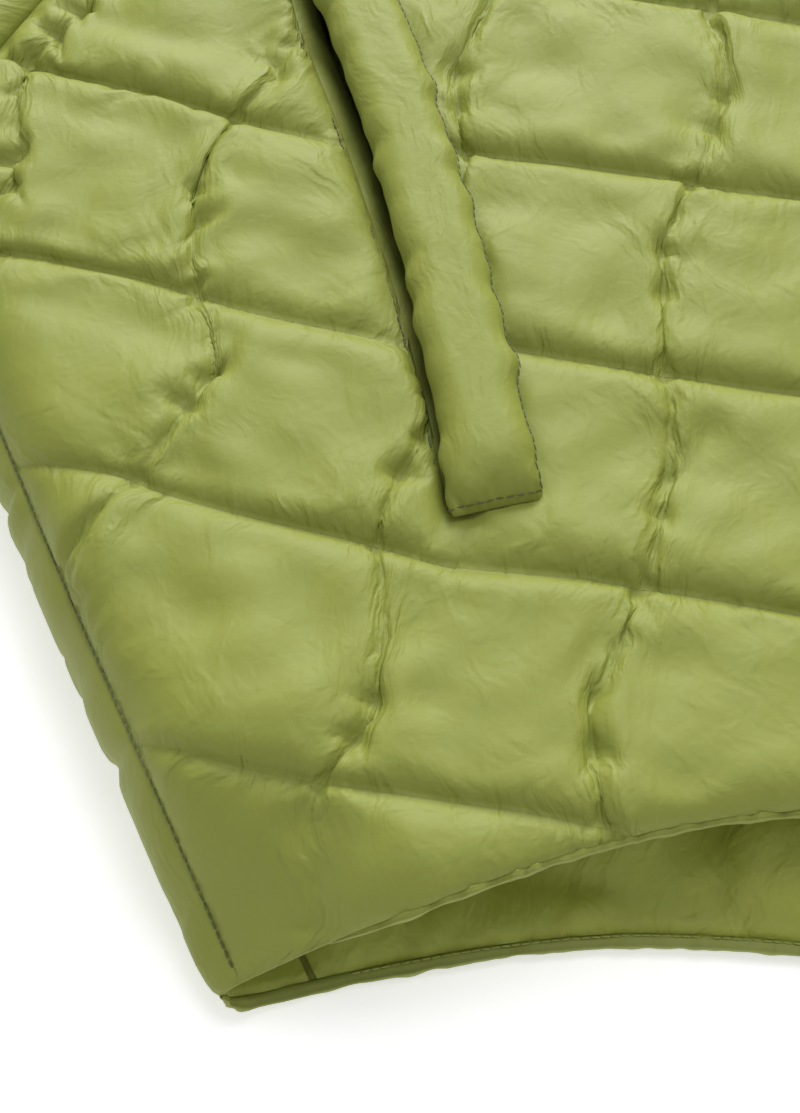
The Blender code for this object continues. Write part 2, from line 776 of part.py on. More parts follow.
def add_slider():
    rest_y = ZIP_FOOT + STOP_LENGTH + SLIDER_LENGTH / 2 + SLIDER_PARK
    slider_x = COIL_X
    body = add_object("zip_slider", box_mesh("zip_slider", (SLIDER_WIDTH, SLIDER_LENGTH, SLIDER_HEIGHT),
                      (0, 0, 0)), METAL, 0.3, 1.0, smooth=False)
    body.location = (slider_x, rest_y, ZIP_Z)
    rounding = body.modifiers.new("round", "BEVEL")
    rounding.width = SLIDER_ROUNDING
    rounding.segments = 2
    channel = add_cutter("slider_channel", box_mesh(
        "slider_channel", (COIL_WIDTH + 2 * SLIDER_PLAY, 2 * SLIDER_LENGTH, COIL_HEIGHT + 2 * SLIDER_PLAY),
        (slider_x, rest_y, ZIP_Z)))
    cut(body, channel)
    mouth = add_cutter("slider_mouth", box_mesh(
        "slider_mouth", (SLIDER_WIDTH, 2 * SLIDER_LENGTH, TAPE_THICKNESS + 2 * SLIDER_PLAY),
        (slider_x + SLIDER_WIDTH / 2, rest_y, ZIP_Z)))
    cut(body, mouth)
    top = ZIP_Z + SLIDER_HEIGHT / 2
    arch = bpy.data.curves.new("slider_bail", "CURVE")
    arch.dimensions = "3D"
    arch.bevel_depth = BAIL_WIRE / 2
    arch.bevel_resolution = 2
    arch.use_fill_caps = True
    spline = arch.splines.new("POLY")
    pivot_z = top + PIVOT_CLEAR
    half = 2 * BAIL_WIRE
    bail_z = pivot_z + PIVOT_CLEAR + BAIL_WIRE / 2
    bend = BAIL_WIRE / 2
    route = [(0, -half, top - bend), (0, -half, bail_z - bend), (0, bend - half, bail_z),
             (0, half - bend, bail_z), (0, half, bail_z - bend), (0, half, top - bend)]
    spline.points.add(len(route) - 1)
    for point, place in zip(spline.points, route):
        point.co = (slider_x + place[0], rest_y + place[1], place[2], 1.0)
    curve_object = bpy.data.objects.new("bail_curve", arch)
    tools.objects.link(curve_object)
    bpy.context.view_layer.update()
    graph = bpy.context.evaluated_depsgraph_get()
    bail_mesh = bpy.data.meshes.new_from_object(curve_object.evaluated_get(graph))
    bm = bmesh.new()
    bm.from_mesh(bail_mesh)
    bmesh.ops.remove_doubles(bm, verts=bm.verts, dist=1e-6)
    bm.to_mesh(bail_mesh)
    bm.free()
    bpy.data.objects.remove(curve_object)
    bail = add_cutter("slider_bail", bail_mesh)
    join = body.modifiers.new("bail", "BOOLEAN")
    join.operation = "UNION"
    join.solver = "EXACT"
    join.object = bail
    add_pull(slider_x, rest_y, pivot_z)


def add_pull(x, y, z):
    """Pull tab: its end bar turns under the slider's bail, its length lies toward the hem."""
    slot = BAIL_WIRE + 2 * SLIDER_PLAY
    mesh = box_mesh("zip_pull", (PULL_WIDTH, PULL_LENGTH, PULL_THICKNESS),
                    (0, PULL_BAR / 2 - PULL_LENGTH / 2, 0))
    pull = add_object("zip_pull", mesh, METAL, 0.3, 1.0, smooth=False)
    pull.location = (x, y, z)
    rounding = pull.modifiers.new("round", "BEVEL")
    rounding.width = PULL_ROUNDING
    rounding.segments = 2
    length = 2.5 * BAIL_WIRE + 3 * SLIDER_PLAY
    window = add_cutter("pull_eye", box_mesh("pull_eye", (slot, length, 4 * PULL_THICKNESS),
                                             (x, y - PULL_BAR / 2 - length / 2, z)))
    cut(pull, window)


def add_zip():
    add_zip_side("right", -1)
    add_zip_side("left", 1)
    foot = ZIP_FOOT + STOP_LENGTH
    add_box("zip_retaining_box", (BOX_WIDTH, BOX_LENGTH, BOX_HEIGHT),
            (COIL_X, foot - BOX_LENGTH / 2 - END_GAP - STOP_LENGTH, ZIP_Z), METAL, 0.35, 1.0, BOX_ROUNDING)
    add_box("zip_insertion_pin", (PIN_WIDTH, PIN_LENGTH, PIN_WIDTH),
            (-COIL_X, foot - PIN_LENGTH / 2 - END_GAP, ZIP_Z), METAL, 0.35, 1.0, SMALL_ROUNDING)
    add_slider()


# Neck trim

def add_neck_trim():
    floor = SANDWICH
    loop = bpy.data.curves.new("hanger_loop", "CURVE")
    loop.dimensions = "3D"
    loop.bevel_depth = LOOP_WIRE
    loop.bevel_resolution = 2
    loop.use_fill_caps = True
    spline = loop.splines.new("POLY")
    steps = 14
    spline.points.add(steps)
    for k in range(steps + 1):
        angle = math.pi * k / steps
        spline.points[k].co = (-LOOP_HALF_WIDTH * math.cos(angle),
                               BACK_NECK_Y - LOOP_DROP - LOOP_SAG * math.sin(angle),
                               floor + LOOP_LIE + LOOP_ARCH * math.sin(angle), 1.0)
    obj = bpy.data.objects.new("hanger_loop", loop)
    parts.objects.link(obj)
    loop.materials.append(make_material("hanger_loop", (0.18, 0.21, 0.06), 0.8))
    add_box("neck_label", (LABEL_WIDTH, LABEL_LENGTH, LABEL_THICKNESS),
            (0.0, BACK_NECK_Y - LABEL_DROP, floor + LABEL_THICKNESS),
            (0.75, 0.74, 0.68), 0.8)


def centre_lengthwise():
    """Set the origin midway between the hem corners and the collar's top edge."""
    bpy.context.view_layer.update()
    levels = [(obj.matrix_world @ Vector(corner)).y
              for obj in parts.objects if obj.type != "EMPTY" for corner in obj.bound_box]
    middle = (min(levels) + max(levels)) / 2
    for obj in list(parts.objects) + list(tools.objects):
        if obj.parent is None:
            obj.location.y -= middle


def main():
    clear_scene()
    bpy.context.scene.collection.children.link(parts)
    bpy.context.scene.collection.children.link(tools)
    add_back()
    for side_name, flip in (("right", False), ("left", True)):
        cutter = slit_cutter(side_name, flip)
        add_front(side_name, flip, cutter)
        add_sleeve(side_name, flip)
        add_cuff(side_name, flip)
        add_hem_band("hem_band_" + side_name, 1, flip)
        add_welt(side_name, flip)
        add_pocket_bag(side_name, flip, cutter)
    add_hem_band("hem_band_back", -1, False)
    add_collar()
    add_zip()
    add_neck_trim()
    centre_lengthwise()


main()
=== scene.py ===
"""Visual model of a block-quilted down jacket, unzipped and lying on its back.

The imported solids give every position. Each quilted panel is a closed padded body whose outer
face is settled by a small cloth solver, between lines of stitching that hold it down.
"""
import math

import bpy
import numpy as np
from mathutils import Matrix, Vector
from mathutils.geometry import delaunay_2d_cdt


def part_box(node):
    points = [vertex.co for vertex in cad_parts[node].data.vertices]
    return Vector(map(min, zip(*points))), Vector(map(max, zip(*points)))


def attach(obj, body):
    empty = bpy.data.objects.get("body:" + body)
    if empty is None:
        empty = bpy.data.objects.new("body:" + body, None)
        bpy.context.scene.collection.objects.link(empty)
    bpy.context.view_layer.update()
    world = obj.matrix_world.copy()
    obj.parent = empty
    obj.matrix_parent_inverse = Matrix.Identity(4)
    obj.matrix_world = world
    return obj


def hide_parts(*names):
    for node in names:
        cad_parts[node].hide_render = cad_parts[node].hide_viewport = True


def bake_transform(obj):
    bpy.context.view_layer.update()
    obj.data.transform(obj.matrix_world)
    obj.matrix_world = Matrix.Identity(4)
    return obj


bl_info = {
    "name": "Quilted down jacket",
    "version": (1, 0, 0),
    "blender": (4, 5, 0),
    "location": "3D View > Sidebar > Jacket",
    "description": "Builds the cloth, padding, stitching and zip of a quilted jacket",
    "category": "Object",
}

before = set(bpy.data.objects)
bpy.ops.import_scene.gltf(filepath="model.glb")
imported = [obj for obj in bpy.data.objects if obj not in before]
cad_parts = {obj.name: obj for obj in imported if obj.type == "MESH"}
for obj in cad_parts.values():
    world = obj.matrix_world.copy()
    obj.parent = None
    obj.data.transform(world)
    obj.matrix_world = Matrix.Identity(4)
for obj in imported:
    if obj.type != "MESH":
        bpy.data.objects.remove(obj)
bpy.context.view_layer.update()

# Sizes shared with the solids, in metres
THICKNESS = 0.050
RADIUS = THICKNESS / 2
PITCH = 0.064
EDGE_X = 0.030
CORNER_Y = 0.0156
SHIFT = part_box("back_shell")[0].y - CORNER_Y
CORNER = np.array((-0.2385, CORNER_Y))
UNDERARM = np.array((-0.378, 0.222))
SIDE_BEND = np.array((-0.3523, 0.1667))
SHOULDER = np.array((-0.270, 0.535))
NECK = np.array((-0.088, 0.600))
BACK_NECK_Y = 0.567
FRONT_NECK_Y = 0.515
BACK_HEM_RISE = 0.030
FRONT_HEM_RISE = 0.0575
SLEEVE_LENGTH = 0.420
SLEEVE_DROP = math.radians(30)
CUFF_WIDTH = 0.130
CUFF_THICKNESS = 0.040
COLLAR_HEIGHT = 0.062
FIRST_ROW = 0.063
WELT_FOOT = np.array((-0.1846, 0.1458))
WELT_LEAN = math.radians(23.6)
WELT_WIDTH = 0.023
WELT_LENGTH = 0.200
WELT_BOTTOM = 0.0503
WELT_TOP = 0.0588

# Sizes of the settled cloth alone, in metres
SEAM_ANGLE = math.radians(40)    # where the fronts meet the wrapped sides, up round the edge
SEAM_DEPTH = 0.0034
SIDE_SPREAD = 0.0058
BAG_LENGTH = 0.205
WELT_CLEAR = 0.0004              # left between the front panel and the welt that lies on it
FRONT_ARCH = 0.0082              # the lifted front edge arches this much between zip and side
BACK_LIFT = 0.0034
FLAT_REACH = 0.056               # the hem corners are pressed flat within this distance
FLAT_SHARE = 0.55
SPREAD_REACH = 0.055
ROW_DROP = 0.0045                # how far the rows sink across the welt, then climb to the side
ROW_CLIMB = 0.0110
LINING_GAP = 0.0012
FLOOR_CLEAR = 0.0002
FREE_RISE = 0.05                 # more than any cloth rises: no ceiling
STRIP_LOFT = 0.0024
COLLAR_GAP = 0.0005
SLUMP_TOP = 0.215
EDGE_INSET = 0.0006              # the hem's seam lies this much inside the shell
PINCH = 0.35                     # across an edge band, from its middle to its stitched pucker
BACK_BAND = (0.0036, 0.0026)     # width and thickness of each edge band
FRONT_BAND = (0.0022, 0.0030)
CUFF_BAND = (0.0112, 0.0030)
BACK_BAND_END, FRONT_BAND_END = 194, 168
CUFF_STATIONS = 220
COLUMN_CROWDING, ROW_CROWDING = 0.36, 0.18

# Settling of the cloth
STRETCH_GRIP = 2.6
SLOW_AIR, THICK_AIR = 0.96, 0.8

# Stitches: a thread's length, its spacing and its width in each kind of line
TOOTH_SPACING = 0.002
STITCH_LENGTH = 0.0023
STITCH_SPACING = 0.0025
STITCH_WIDTHS = {"quilting": 0.00024, "seam": 0.00036, "topstitch": 0.00050}


def unit(v):
    """Vectors of length one, along the last axis."""
    return v / np.linalg.norm(v, axis=-1, keepdims=True)


def mix(a, b, t):
    """Between two values, a share of the way."""
    return a + (b - a) * t


def col(values):
    """A row of numbers as a column."""
    return np.asarray(values, float).reshape(-1, 1)


ARMHOLE = unit(SHOULDER - UNDERARM)
OUTWARD = np.array((-ARMHOLE[1], ARMHOLE[0]))
HEM_INWARD = unit(np.array((0.87, 0.49)))
HEM_END = CORNER + HEM_INWARD * RADIUS
WELT_ALONG = np.array((-math.sin(WELT_LEAN), math.cos(WELT_LEAN)))
WELT_ACROSS = np.array((-math.cos(WELT_LEAN), -math.sin(WELT_LEAN)))


# Plan lines of the right half, x negative

def side_point(t):
    """The side's edge line, from the hem corner up to the underarm."""
    t = col(t)
    return mix(mix(CORNER, SIDE_BEND, t), mix(SIDE_BEND, UNDERARM, t), t)


def side_inward(t):
    """The way into the body from the side edge."""
    return unit(mix(HEM_INWARD, ARMHOLE, col(t)))


def shoulder_point(t):
    """The shoulder line, from the neck out."""
    return mix(NECK, SHOULDER, col(t))


def shoulder_inward(t):
    return unit(mix(np.array((0.0, -1.0)), -ARMHOLE, col(t)))


def hem_line(x, rise, power):
    """A hem that rises from its corners to the middle."""
    share = np.minimum(np.abs(x / HEM_END[0]), 1.0)
    return HEM_END[1] + rise * (1.0 - share ** power)


def front_hem(x):
    """The lifted front edge arches a little higher between the zip and the side."""
    share = np.clip((np.abs(x) - EDGE_X) / (0.196 - EDGE_X), 0, 1)
    return hem_line(x, FRONT_HEM_RISE, 1.9) + FRONT_ARCH * np.sin(np.pi * share ** 1.15)


def back_hem(x):
    """The back hem, lifted a little beside each corner."""
    share = np.clip((0.2167 - np.abs(x)) / 0.07, 0, 1)
    return hem_line(x, BACK_HEM_RISE, 3.2) + BACK_LIFT * share


def slump(points):
    """The hem corners lie flatter and spread a little wider on the floor than the rest of the tube."""
    out = np.array(points, float)
    low = out[:, 1] < SLUMP_TOP
    plan = out[low, :2] * np.where(out[low, :1] > 0, (-1.0, 1.0), (1.0, 1.0))
    depth, _ = depth_inside(plan, side_point, side_inward, 1)
    share = np.clip(1 - depth / SPREAD_REACH, 0, 1)
    fade = np.clip((SLUMP_TOP - out[low, 1]) / 0.05, 0, 1)
    spread = -SIDE_SPREAD * share * share * (3 - 2 * share) * fade * fade * (3 - 2 * fade)
    out[low, 0] += spread * np.where(out[low, 0] > 0, -1.0, 1.0)
    for sign in (1.0, -1.0):
        away = np.hypot(out[:, 0] - sign * CORNER[0], out[:, 1] - CORNER[1])
        share = np.clip(1 - away / FLAT_REACH, 0, 1)
        out[:, 2] *= 1 - FLAT_SHARE * share * share * (3 - 2 * share)
    return out


def neckline(x, centre_x, centre_y):
    side = NECK + np.array((0.0, -RADIUS))
    share = np.clip((x - centre_x) / (side[0] - centre_x), 0, 1)
    return centre_y + (side[1] - centre_y) * share ** 1.6


def depth_inside(p, line, inward, rising):
    """How far each plan point lies inside an edge line, and the inward direction there."""
    low = np.zeros(len(p))
    high = np.ones(len(p))
    for _ in range(30):
        t = (low + high) / 2
        away = p - line(t)
        turn = inward(t)
        miss = (away[:, 0] * turn[:, 1] - away[:, 1] * turn[:, 0]) * rising
        low = np.where(miss < 0, t, low)
        high = np.where(miss < 0, high, t)
    t = (low + high) / 2
    turn = inward(t)
    return np.sum((p - line(t)) * turn, 1), turn


def tube_surface(p, depth, side=1):
    """Base points and normals of a sheet set depth inside the flattened tube, front or back."""
    side_d, side_in = depth_inside(p, side_point, side_inward, 1)
    top_d, top_in = depth_inside(p, shoulder_point, shoulder_inward, -1)
    use_top = top_d < side_d
    d = np.where(use_top, top_d, side_d)
    turn = np.where(use_top[:, None], top_in, side_in)
    d = np.clip(d, 0.0, RADIUS)
    cosine = 1.0 - d / RADIUS
    sine = np.sqrt(1.0 - cosine ** 2)
    radius = RADIUS - depth
    moved = p + turn * col(radius * -cosine + RADIUS - d)
    base = np.column_stack((moved, RADIUS + side * radius * sine))
    normal = np.column_stack((-turn * col(cosine), side * sine))
    return base, unit(normal)


def noise(p, seed, size, count=28):
    """Smooth noise of about unit size from a fixed set of waves."""
    draw = np.random.default_rng(seed)
    out = np.zeros(len(p))
    for _ in range(count):
        angle = draw.uniform(0, 2 * np.pi)
        wave = 2 * np.pi / (size * draw.uniform(0.7, 1.6))
        phase = draw.uniform(0, 2 * np.pi)
        out += np.cos(wave * (math.cos(angle) * p[:, 0] + math.sin(angle) * p[:, 1]) + phase)
    return out / math.sqrt(count / 2)


# Meshing a cut of cloth

def resample(loop, step):
    points = []
    for a, b in zip(loop, np.roll(loop, -1, 0)):
        count = max(1, int(round(np.linalg.norm(b - a) / step)))
        points += [a + (b - a) * k / count for k in range(count)]
    return np.array(points)


def inside(loop, p):
    flag = np.zeros(len(p), bool)
    for (x1, y1), (x2, y2) in zip(loop, np.roll(loop, -1, 0)):
        spans = (y1 > p[:, 1]) != (y2 > p[:, 1])
        cross = (x2 - x1) * (p[:, 1] - y1) / (y2 - y1 + 1e-15) + x1
        flag ^= spans & (p[:, 0] < cross)
    return flag


def near(points, others, reach):
    """Which points lie within reach of any of the others."""
    order = np.argsort(others[:, 0])
    others = others[order]
    left = np.searchsorted(others[:, 0], points[:, 0] - reach)
    right = np.searchsorted(others[:, 0], points[:, 0] + reach)
    flag = np.zeros(len(points), bool)
    longest = int((right - left).max()) if len(points) else 0
    for k in range(longest):
        index = np.minimum(left + k, len(others) - 1)
        live = left + k < right
        gap = ((others[index] - points) ** 2).sum(1)
        flag |= live & (gap < reach * reach)
    return flag


def cut_cloth(loops, origin, per_block, warp=None):
    """Triangles over an outline with holes, with lattice points exactly on the quilting lines."""
    step = PITCH / per_block
    rims = [resample(np.asarray(loop, float), step) for loop in loops]
    rim = np.concatenate(rims)
    low, high = rims[0].min(0), rims[0].max(0)
    i = np.arange(math.floor((low[0] - origin[0]) / step) - 2, math.ceil((high[0] - origin[0]) / step) + 3)
    j = np.arange(math.floor((low[1] - origin[1]) / step) - 2, math.ceil((high[1] - origin[1]) / step) + 3)
    i, j = (m.ravel() for m in np.meshgrid(i, j, indexing="ij"))
    grid = np.column_stack((origin[0] + i * step, origin[1] + j * step))
    if warp is not None:
        grid = grid + warp(grid)
    keep = inside(rims[0], grid)
    for hole in rims[1:]:
        keep &= ~inside(hole, grid)
    keep &= ~near(grid, rim, 0.62 * step)
    grid, i, j = grid[keep], i[keep], j[keep]
    points = np.concatenate((rim, grid))
    edges = []
    start = 0
    for part in rims:
        count = len(part)
        edges += [(start + k, start + (k + 1) % count) for k in range(count)]
        start += count
    found = delaunay_2d_cdt([Vector(p) for p in points.tolist()], edges, [], 1, 1e-9)
    if len(found[0]) != len(points):
        raise RuntimeError("the cut of cloth has doubled points")
    tri = np.array(found[2])
    middle = points[tri].mean(1)
    live = np.ones(len(tri), bool)
    for hole in rims[1:]:
        live &= ~inside(hole, middle)
    tri = tri[live]
    blank = np.full(len(rim), 10 ** 6)
    return points, tri, [len(r) for r in rims], np.concatenate((blank, i)), np.concatenate((blank, j))


def links(tri):
    """Edges of a triangle mesh, and the pairs of corners that face each other over an edge."""
    edge = np.concatenate((tri[:, [0, 1]], tri[:, [1, 2]], tri[:, [2, 0]]))
    far = np.concatenate((tri[:, 2], tri[:, 0], tri[:, 1]))
    edge = np.sort(edge, 1)
    order = np.lexsort((edge[:, 1], edge[:, 0]))
    edge, far = edge[order], far[order]
    first = np.ones(len(edge), bool)
    first[1:] = (edge[1:] != edge[:-1]).any(1)
    second = np.nonzero(~first)[0]
    return edge[first], np.column_stack((far[second - 1], far[second]))


class Cloth:
    """Position-based cloth: edges keep their length, facing corners resist folding, air pushes out."""

    def __init__(self, start, tri, pattern, growth, fixed):
        self.x = start.copy()
        self.before = start.copy()
        self.tri = tri
        self.free = np.where(fixed, 0.0, 1.0)
        self.edge, self.facing = links(tri)
        self.edge_rest = self.rest(start, self.edge, pattern, growth)
        self.facing_rest = self.rest(start, self.facing, pattern, growth)
        count = len(start)
        self.edge_share = 1 / np.maximum(np.bincount(self.edge.ravel(), minlength=count), 1)
        self.facing_share = 1 / np.maximum(np.bincount(self.facing.ravel(), minlength=count), 1)

    @staticmethod
    def rest(start, pairs, pattern, growth):
        a, b = pairs[:, 0], pairs[:, 1]
        length = np.linalg.norm(start[a] - start[b], axis=1)
        way = pattern[a] - pattern[b]
        grown = growth((pattern[a] + pattern[b]) / 2)
        flat = (way ** 2).sum(1) + 1e-16
        return length * np.sqrt(((way * grown) ** 2).sum(1) / flat)

    def settle(self, pairs, rest, share, strength):
        a, b = pairs[:, 0], pairs[:, 1]
        way = self.x[a] - self.x[b]
        length = np.sqrt((way * way).sum(1)) + 1e-12
        free_a, free_b = self.free[a], self.free[b]
        move = (strength * (length - rest) / length / (free_a + free_b + 1e-12))[:, None] * way
        index = np.concatenate((a, b))
        for k in range(3):
            pull = np.concatenate((-move[:, k] * free_a, move[:, k] * free_b))
            self.x[:, k] += np.bincount(index, pull, len(self.x)) * share

    def normals(self):
        t, x = self.tri, self.x
        face = np.cross(x[t[:, 1]] - x[t[:, 0]], x[t[:, 2]] - x[t[:, 0]])
        out = np.column_stack([np.bincount(t.ravel(), np.repeat(face[:, k], 3), len(x)) for k in range(3)])
        return unit(out + 1e-15)

    def run(self, steps, push, fold, hold, repeats=2):
        for k in range(steps):
            speed = (self.x - self.before) * (SLOW_AIR if k < steps * 0.8 else THICK_AIR)
            self.before = self.x.copy()
            self.x = self.x + (speed + self.normals() * push) * self.free[:, None]
            for _ in range(repeats):
                self.settle(self.edge, self.edge_rest, self.edge_share, STRETCH_GRIP)
                if fold > 0:
                    self.settle(self.facing, self.facing_rest, self.facing_share, fold)
                hold(self)
        return self.x


def quilt(base, normal, tri, pattern, rim, rows, columns, tacks, seed, ceiling=None, steps=180,
          push=0.00004, fold=0.3, across=0.04, along=0.05, gather=0.30, gather_width=0.007, repeats=2,
          lift=0.0012, seam_gather=0.0, slack=None, float_low=-0.0005,
          knot=0.0, crumple=0.0, loft=None):
    """Settle a padded outer face over its base, held down at the lines of stitching."""
    start = base + normal * col(0.0004 * noise(pattern, seed, 0.02))
    start[rim] = base[rim]

    def growth(m):
        off = np.abs(((m[:, 0] - columns[0]) / PITCH + 0.5) % 1 - 0.5) * PITCH
        if columns[1] is not None:
            off = np.abs(columns[1](m))
        line = np.exp(-(off / gather_width) ** 2)
        patch = 1 + 0.5 * noise(m, seed + 1, 0.05)
        wide = 1 + across + gather * line * np.clip(patch, 0.2, 2)
        tall = 1 + along * (1 + 0.4 * noise(m, seed + 2, 0.06)) + seam_gather * line
        if crumple:
            wide = wide + crumple * noise(m, seed + 5, 0.020)
            tall = tall + crumple * noise(m, seed + 6, 0.024)
        if slack is not None:
            loose = slack(m)
            wide = wide + loose * np.clip(1 + 0.9 * noise(m, seed + 3, 0.03), 0, 2.5)
            tall = tall + loose * np.clip(1 + 0.9 * noise(m, seed + 4, 0.04), 0, 2.5)
        return np.column_stack((wide, tall))

    count = len(base)
    if loft is not None:
        room = loft * (1 + 0.16 * noise(pattern, seed + 8, 0.045) + 0.10 * noise(pattern, seed + 9, 0.018))
    pull = np.zeros(count)
    low = np.full(count, -0.0005)
    high = np.full(count, FREE_RISE)
    is_row, is_column = rows, columns[2]
    pull[is_column] = 0.02
    low[is_column] = float_low
    high[is_column] = lift
    pull[tacks] = 0.15
    low[tacks] = knot
    high[tacks] = knot
    pull[is_row] = 0.08
    low[is_row] = 0
    high[is_row] = 0
    if ceiling is not None:
        high = np.minimum(high, ceiling)
        low = np.minimum(low, high)

    def hold(cloth):
        away = cloth.x - base
        rise = (away * normal).sum(1)
        flat = away - normal * rise[:, None]
        if loft is not None:
            rise = np.where(rise > room, room + (rise - room) * 0.6, rise)
        level = np.clip(rise, low, high)
        cloth.x = base + flat * (1 - pull)[:, None] + normal * level[:, None]
        cloth.x[rim] = base[rim]

    cloth = Cloth(start, tri, pattern, growth, rim)
    cloth.run(steps, push, fold, hold, repeats)
    return eased(cloth, base, rim)


def eased(cloth, base, rim, passes=1):
    """Even out the finest ripples between neighbouring corners, but not at the sewn rim."""
    x = cloth.x
    index, other = cloth.edge.T.ravel(), cloth.edge[:, ::-1].T.ravel()
    count = np.maximum(np.bincount(index, minlength=len(x)), 1)
    for _ in range(passes):
        mean = np.column_stack([np.bincount(index, x[other, k], len(x)) for k in range(3)]) / col(count)
        x = mix(x, mean, 0.3)
        x[rim] = base[rim]
    return x


def mirrored(p):
    """The same points on the other side of the middle."""
    return p * np.array((-1.0,) + (1.0,) * (p.shape[1] - 1))


def facing_up(p, tri):
    """Turn every triangle so that it faces up in plan."""
    a, b, c = p[tri[:, 0]], p[tri[:, 1]], p[tri[:, 2]]
    area = (b[:, 0] - a[:, 0]) * (c[:, 1] - a[:, 1]) - (b[:, 1] - a[:, 1]) * (c[:, 0] - a[:, 0])
    out = tri.copy()
    out[area < 0] = out[area < 0][:, ::-1]
    return out


def facing_out(base, tri, normal):
    """Turn every triangle so that it faces the way its points' normals do."""
    a, b, c = (base[tri[0, k]] for k in range(3))
    return tri[:, ::-1] if np.dot(np.cross(b - a, c - a), normal[tri[0, 0]]) < 0 else tri


def floor_room(base, normal):
    """How far the cloth may stand out where it faces down, before it meets the floor."""
    drop = np.maximum(-normal[:, 2], 0.05)
    return np.where(normal[:, 2] < -0.05, (base[:, 2] - FLOOR_CLEAR) / drop, FREE_RISE)


def lining_of(outer, base, normal, gap, follow, most):
    """The inner face lies a gap inside the base, and follows part of the outer face's loft."""
    rise = ((outer - base) * normal).sum(1)
    return base - normal * col(gap + follow * np.clip(rise, 0, most))


def grid_triangles(rows, columns, closed=False):
    """Triangles of a grid stored row by row, its columns perhaps joined into a ring."""
    faces = []
    last = columns if closed else columns - 1
    for j in range(rows - 1):
        for i in range(last):
            a, b = j * columns + i, j * columns + (i + 1) % columns
            faces += [(a, b, b + columns), (a, b + columns, a + columns)]
    return np.array(faces)


def open_edges(tri):
    """Directed border edges of a triangle mesh."""
    edge = np.concatenate((tri[:, [0, 1]], tri[:, [1, 2]], tri[:, [2, 0]]))
    key = edge[:, 0] * 10 ** 7 + edge[:, 1]
    back = edge[:, 1] * 10 ** 7 + edge[:, 0]
    return edge[~np.isin(key, back)]


def add_mesh(name, points, faces, finishes, slots=None, pattern=None):
    """A finished piece at the origin. Points are given before the frame's lengthwise shift."""
    placed = slump(points)
    placed[:, 1] += SHIFT
    mesh = bpy.data.meshes.new(name)
    mesh.from_pydata(placed.tolist(), [], [list(map(int, f)) for f in faces])
    for finish in finishes:
        mesh.materials.append(finish)
    mesh.polygons.foreach_set("use_smooth", np.ones(len(mesh.polygons), bool))
    if slots is not None:
        mesh.polygons.foreach_set("material_index", np.asarray(slots, np.int32))
    if pattern is not None:
        layer = mesh.uv_layers.new(name="cut")
        index = np.zeros(len(mesh.loops), np.int32)
        mesh.loops.foreach_get("vertex_index", index)
        layer.data.foreach_set("uv", np.asarray(pattern, np.float32)[index].ravel())
    mesh.update()
    piece = bpy.data.objects.new(name, mesh)
    bpy.context.scene.collection.objects.link(piece)
    return piece


def add_sandwich(name, outer, inner, tri, finishes, pattern):
    """A closed padded panel: outer face, lining face and the narrow wall round its border."""
    count = len(outer)
    border = open_edges(tri)
    wall = np.concatenate((np.column_stack((border[:, 1], border[:, 0], border[:, 0] + count)),
                           np.column_stack((border[:, 1], border[:, 0] + count, border[:, 1] + count))))
    faces = np.concatenate((tri, tri[:, ::-1] + count, wall))
    slots = np.concatenate((np.zeros(len(tri)), np.ones(len(tri)), np.zeros(len(wall))))
    points = np.concatenate((outer, inner))
    return add_mesh(name, points, faces, finishes, slots, np.concatenate((pattern, pattern)))


def far_off(m):
    """Distance to a line of gathers, for a piece that has none."""
    return np.full(len(m), 0.05)


def stage_steps(full):
    """Solver steps: always the full count given."""
    return full


# Cloth lines of the hand pocket

def welt_line(s, across, bow):
    s = np.asarray(s, float)
    bend = bow * np.sin(np.pi * np.clip(s / WELT_LENGTH, 0, 1))
    return WELT_FOOT + WELT_ALONG * col(s) + WELT_ACROSS * (across - col(bend))


SLIT_WAY = (0.0, 0.002, 0.037, 0.080, 0.130, 0.170, 0.186, 0.197)
SLIT_GAP = (0.0, 0.0002, -0.0019, -0.0019, 0.0005, 0.0042, 0.0044, 0.0010)


def slit_seam(s):
    """Where the panel turns down into the pocket, beside the welt's free edge."""
    s = np.asarray(s, float)
    out = np.interp(s, SLIT_WAY, SLIT_GAP)
    return WELT_FOOT + WELT_ALONG * col(s) + WELT_ACROSS * (WELT_WIDTH + col(out))


def slit_loop(step=0.0022):
    """Outline of the pocket's mouth in the front panel, anticlockwise."""
    s = np.linspace(0.004, 0.194, int(0.19 / step))
    inner = welt_line(s, WELT_WIDTH - 0.0035, 0.0055)
    outer = slit_seam(s)
    return np.concatenate((inner, outer[::-1]))


def front_outline():
    seam = RADIUS * (1 - math.cos(SEAM_ANGLE))
    x = np.linspace(-EDGE_X, HEM_END[0], 60)
    hem = np.column_stack((x, front_hem(x)))
    t = SIDE_STOPS
    side = side_point(t) + side_inward(t) * seam
    t = np.linspace(1, 0, 60)
    shoulder = shoulder_point(t) + shoulder_inward(t) * seam
    x = np.linspace(NECK[0], -EDGE_X, 24)
    neck = np.column_stack((x, neckline(x, -EDGE_X, FRONT_NECK_Y)))
    return np.concatenate((hem[:-1], side, shoulder, neck))


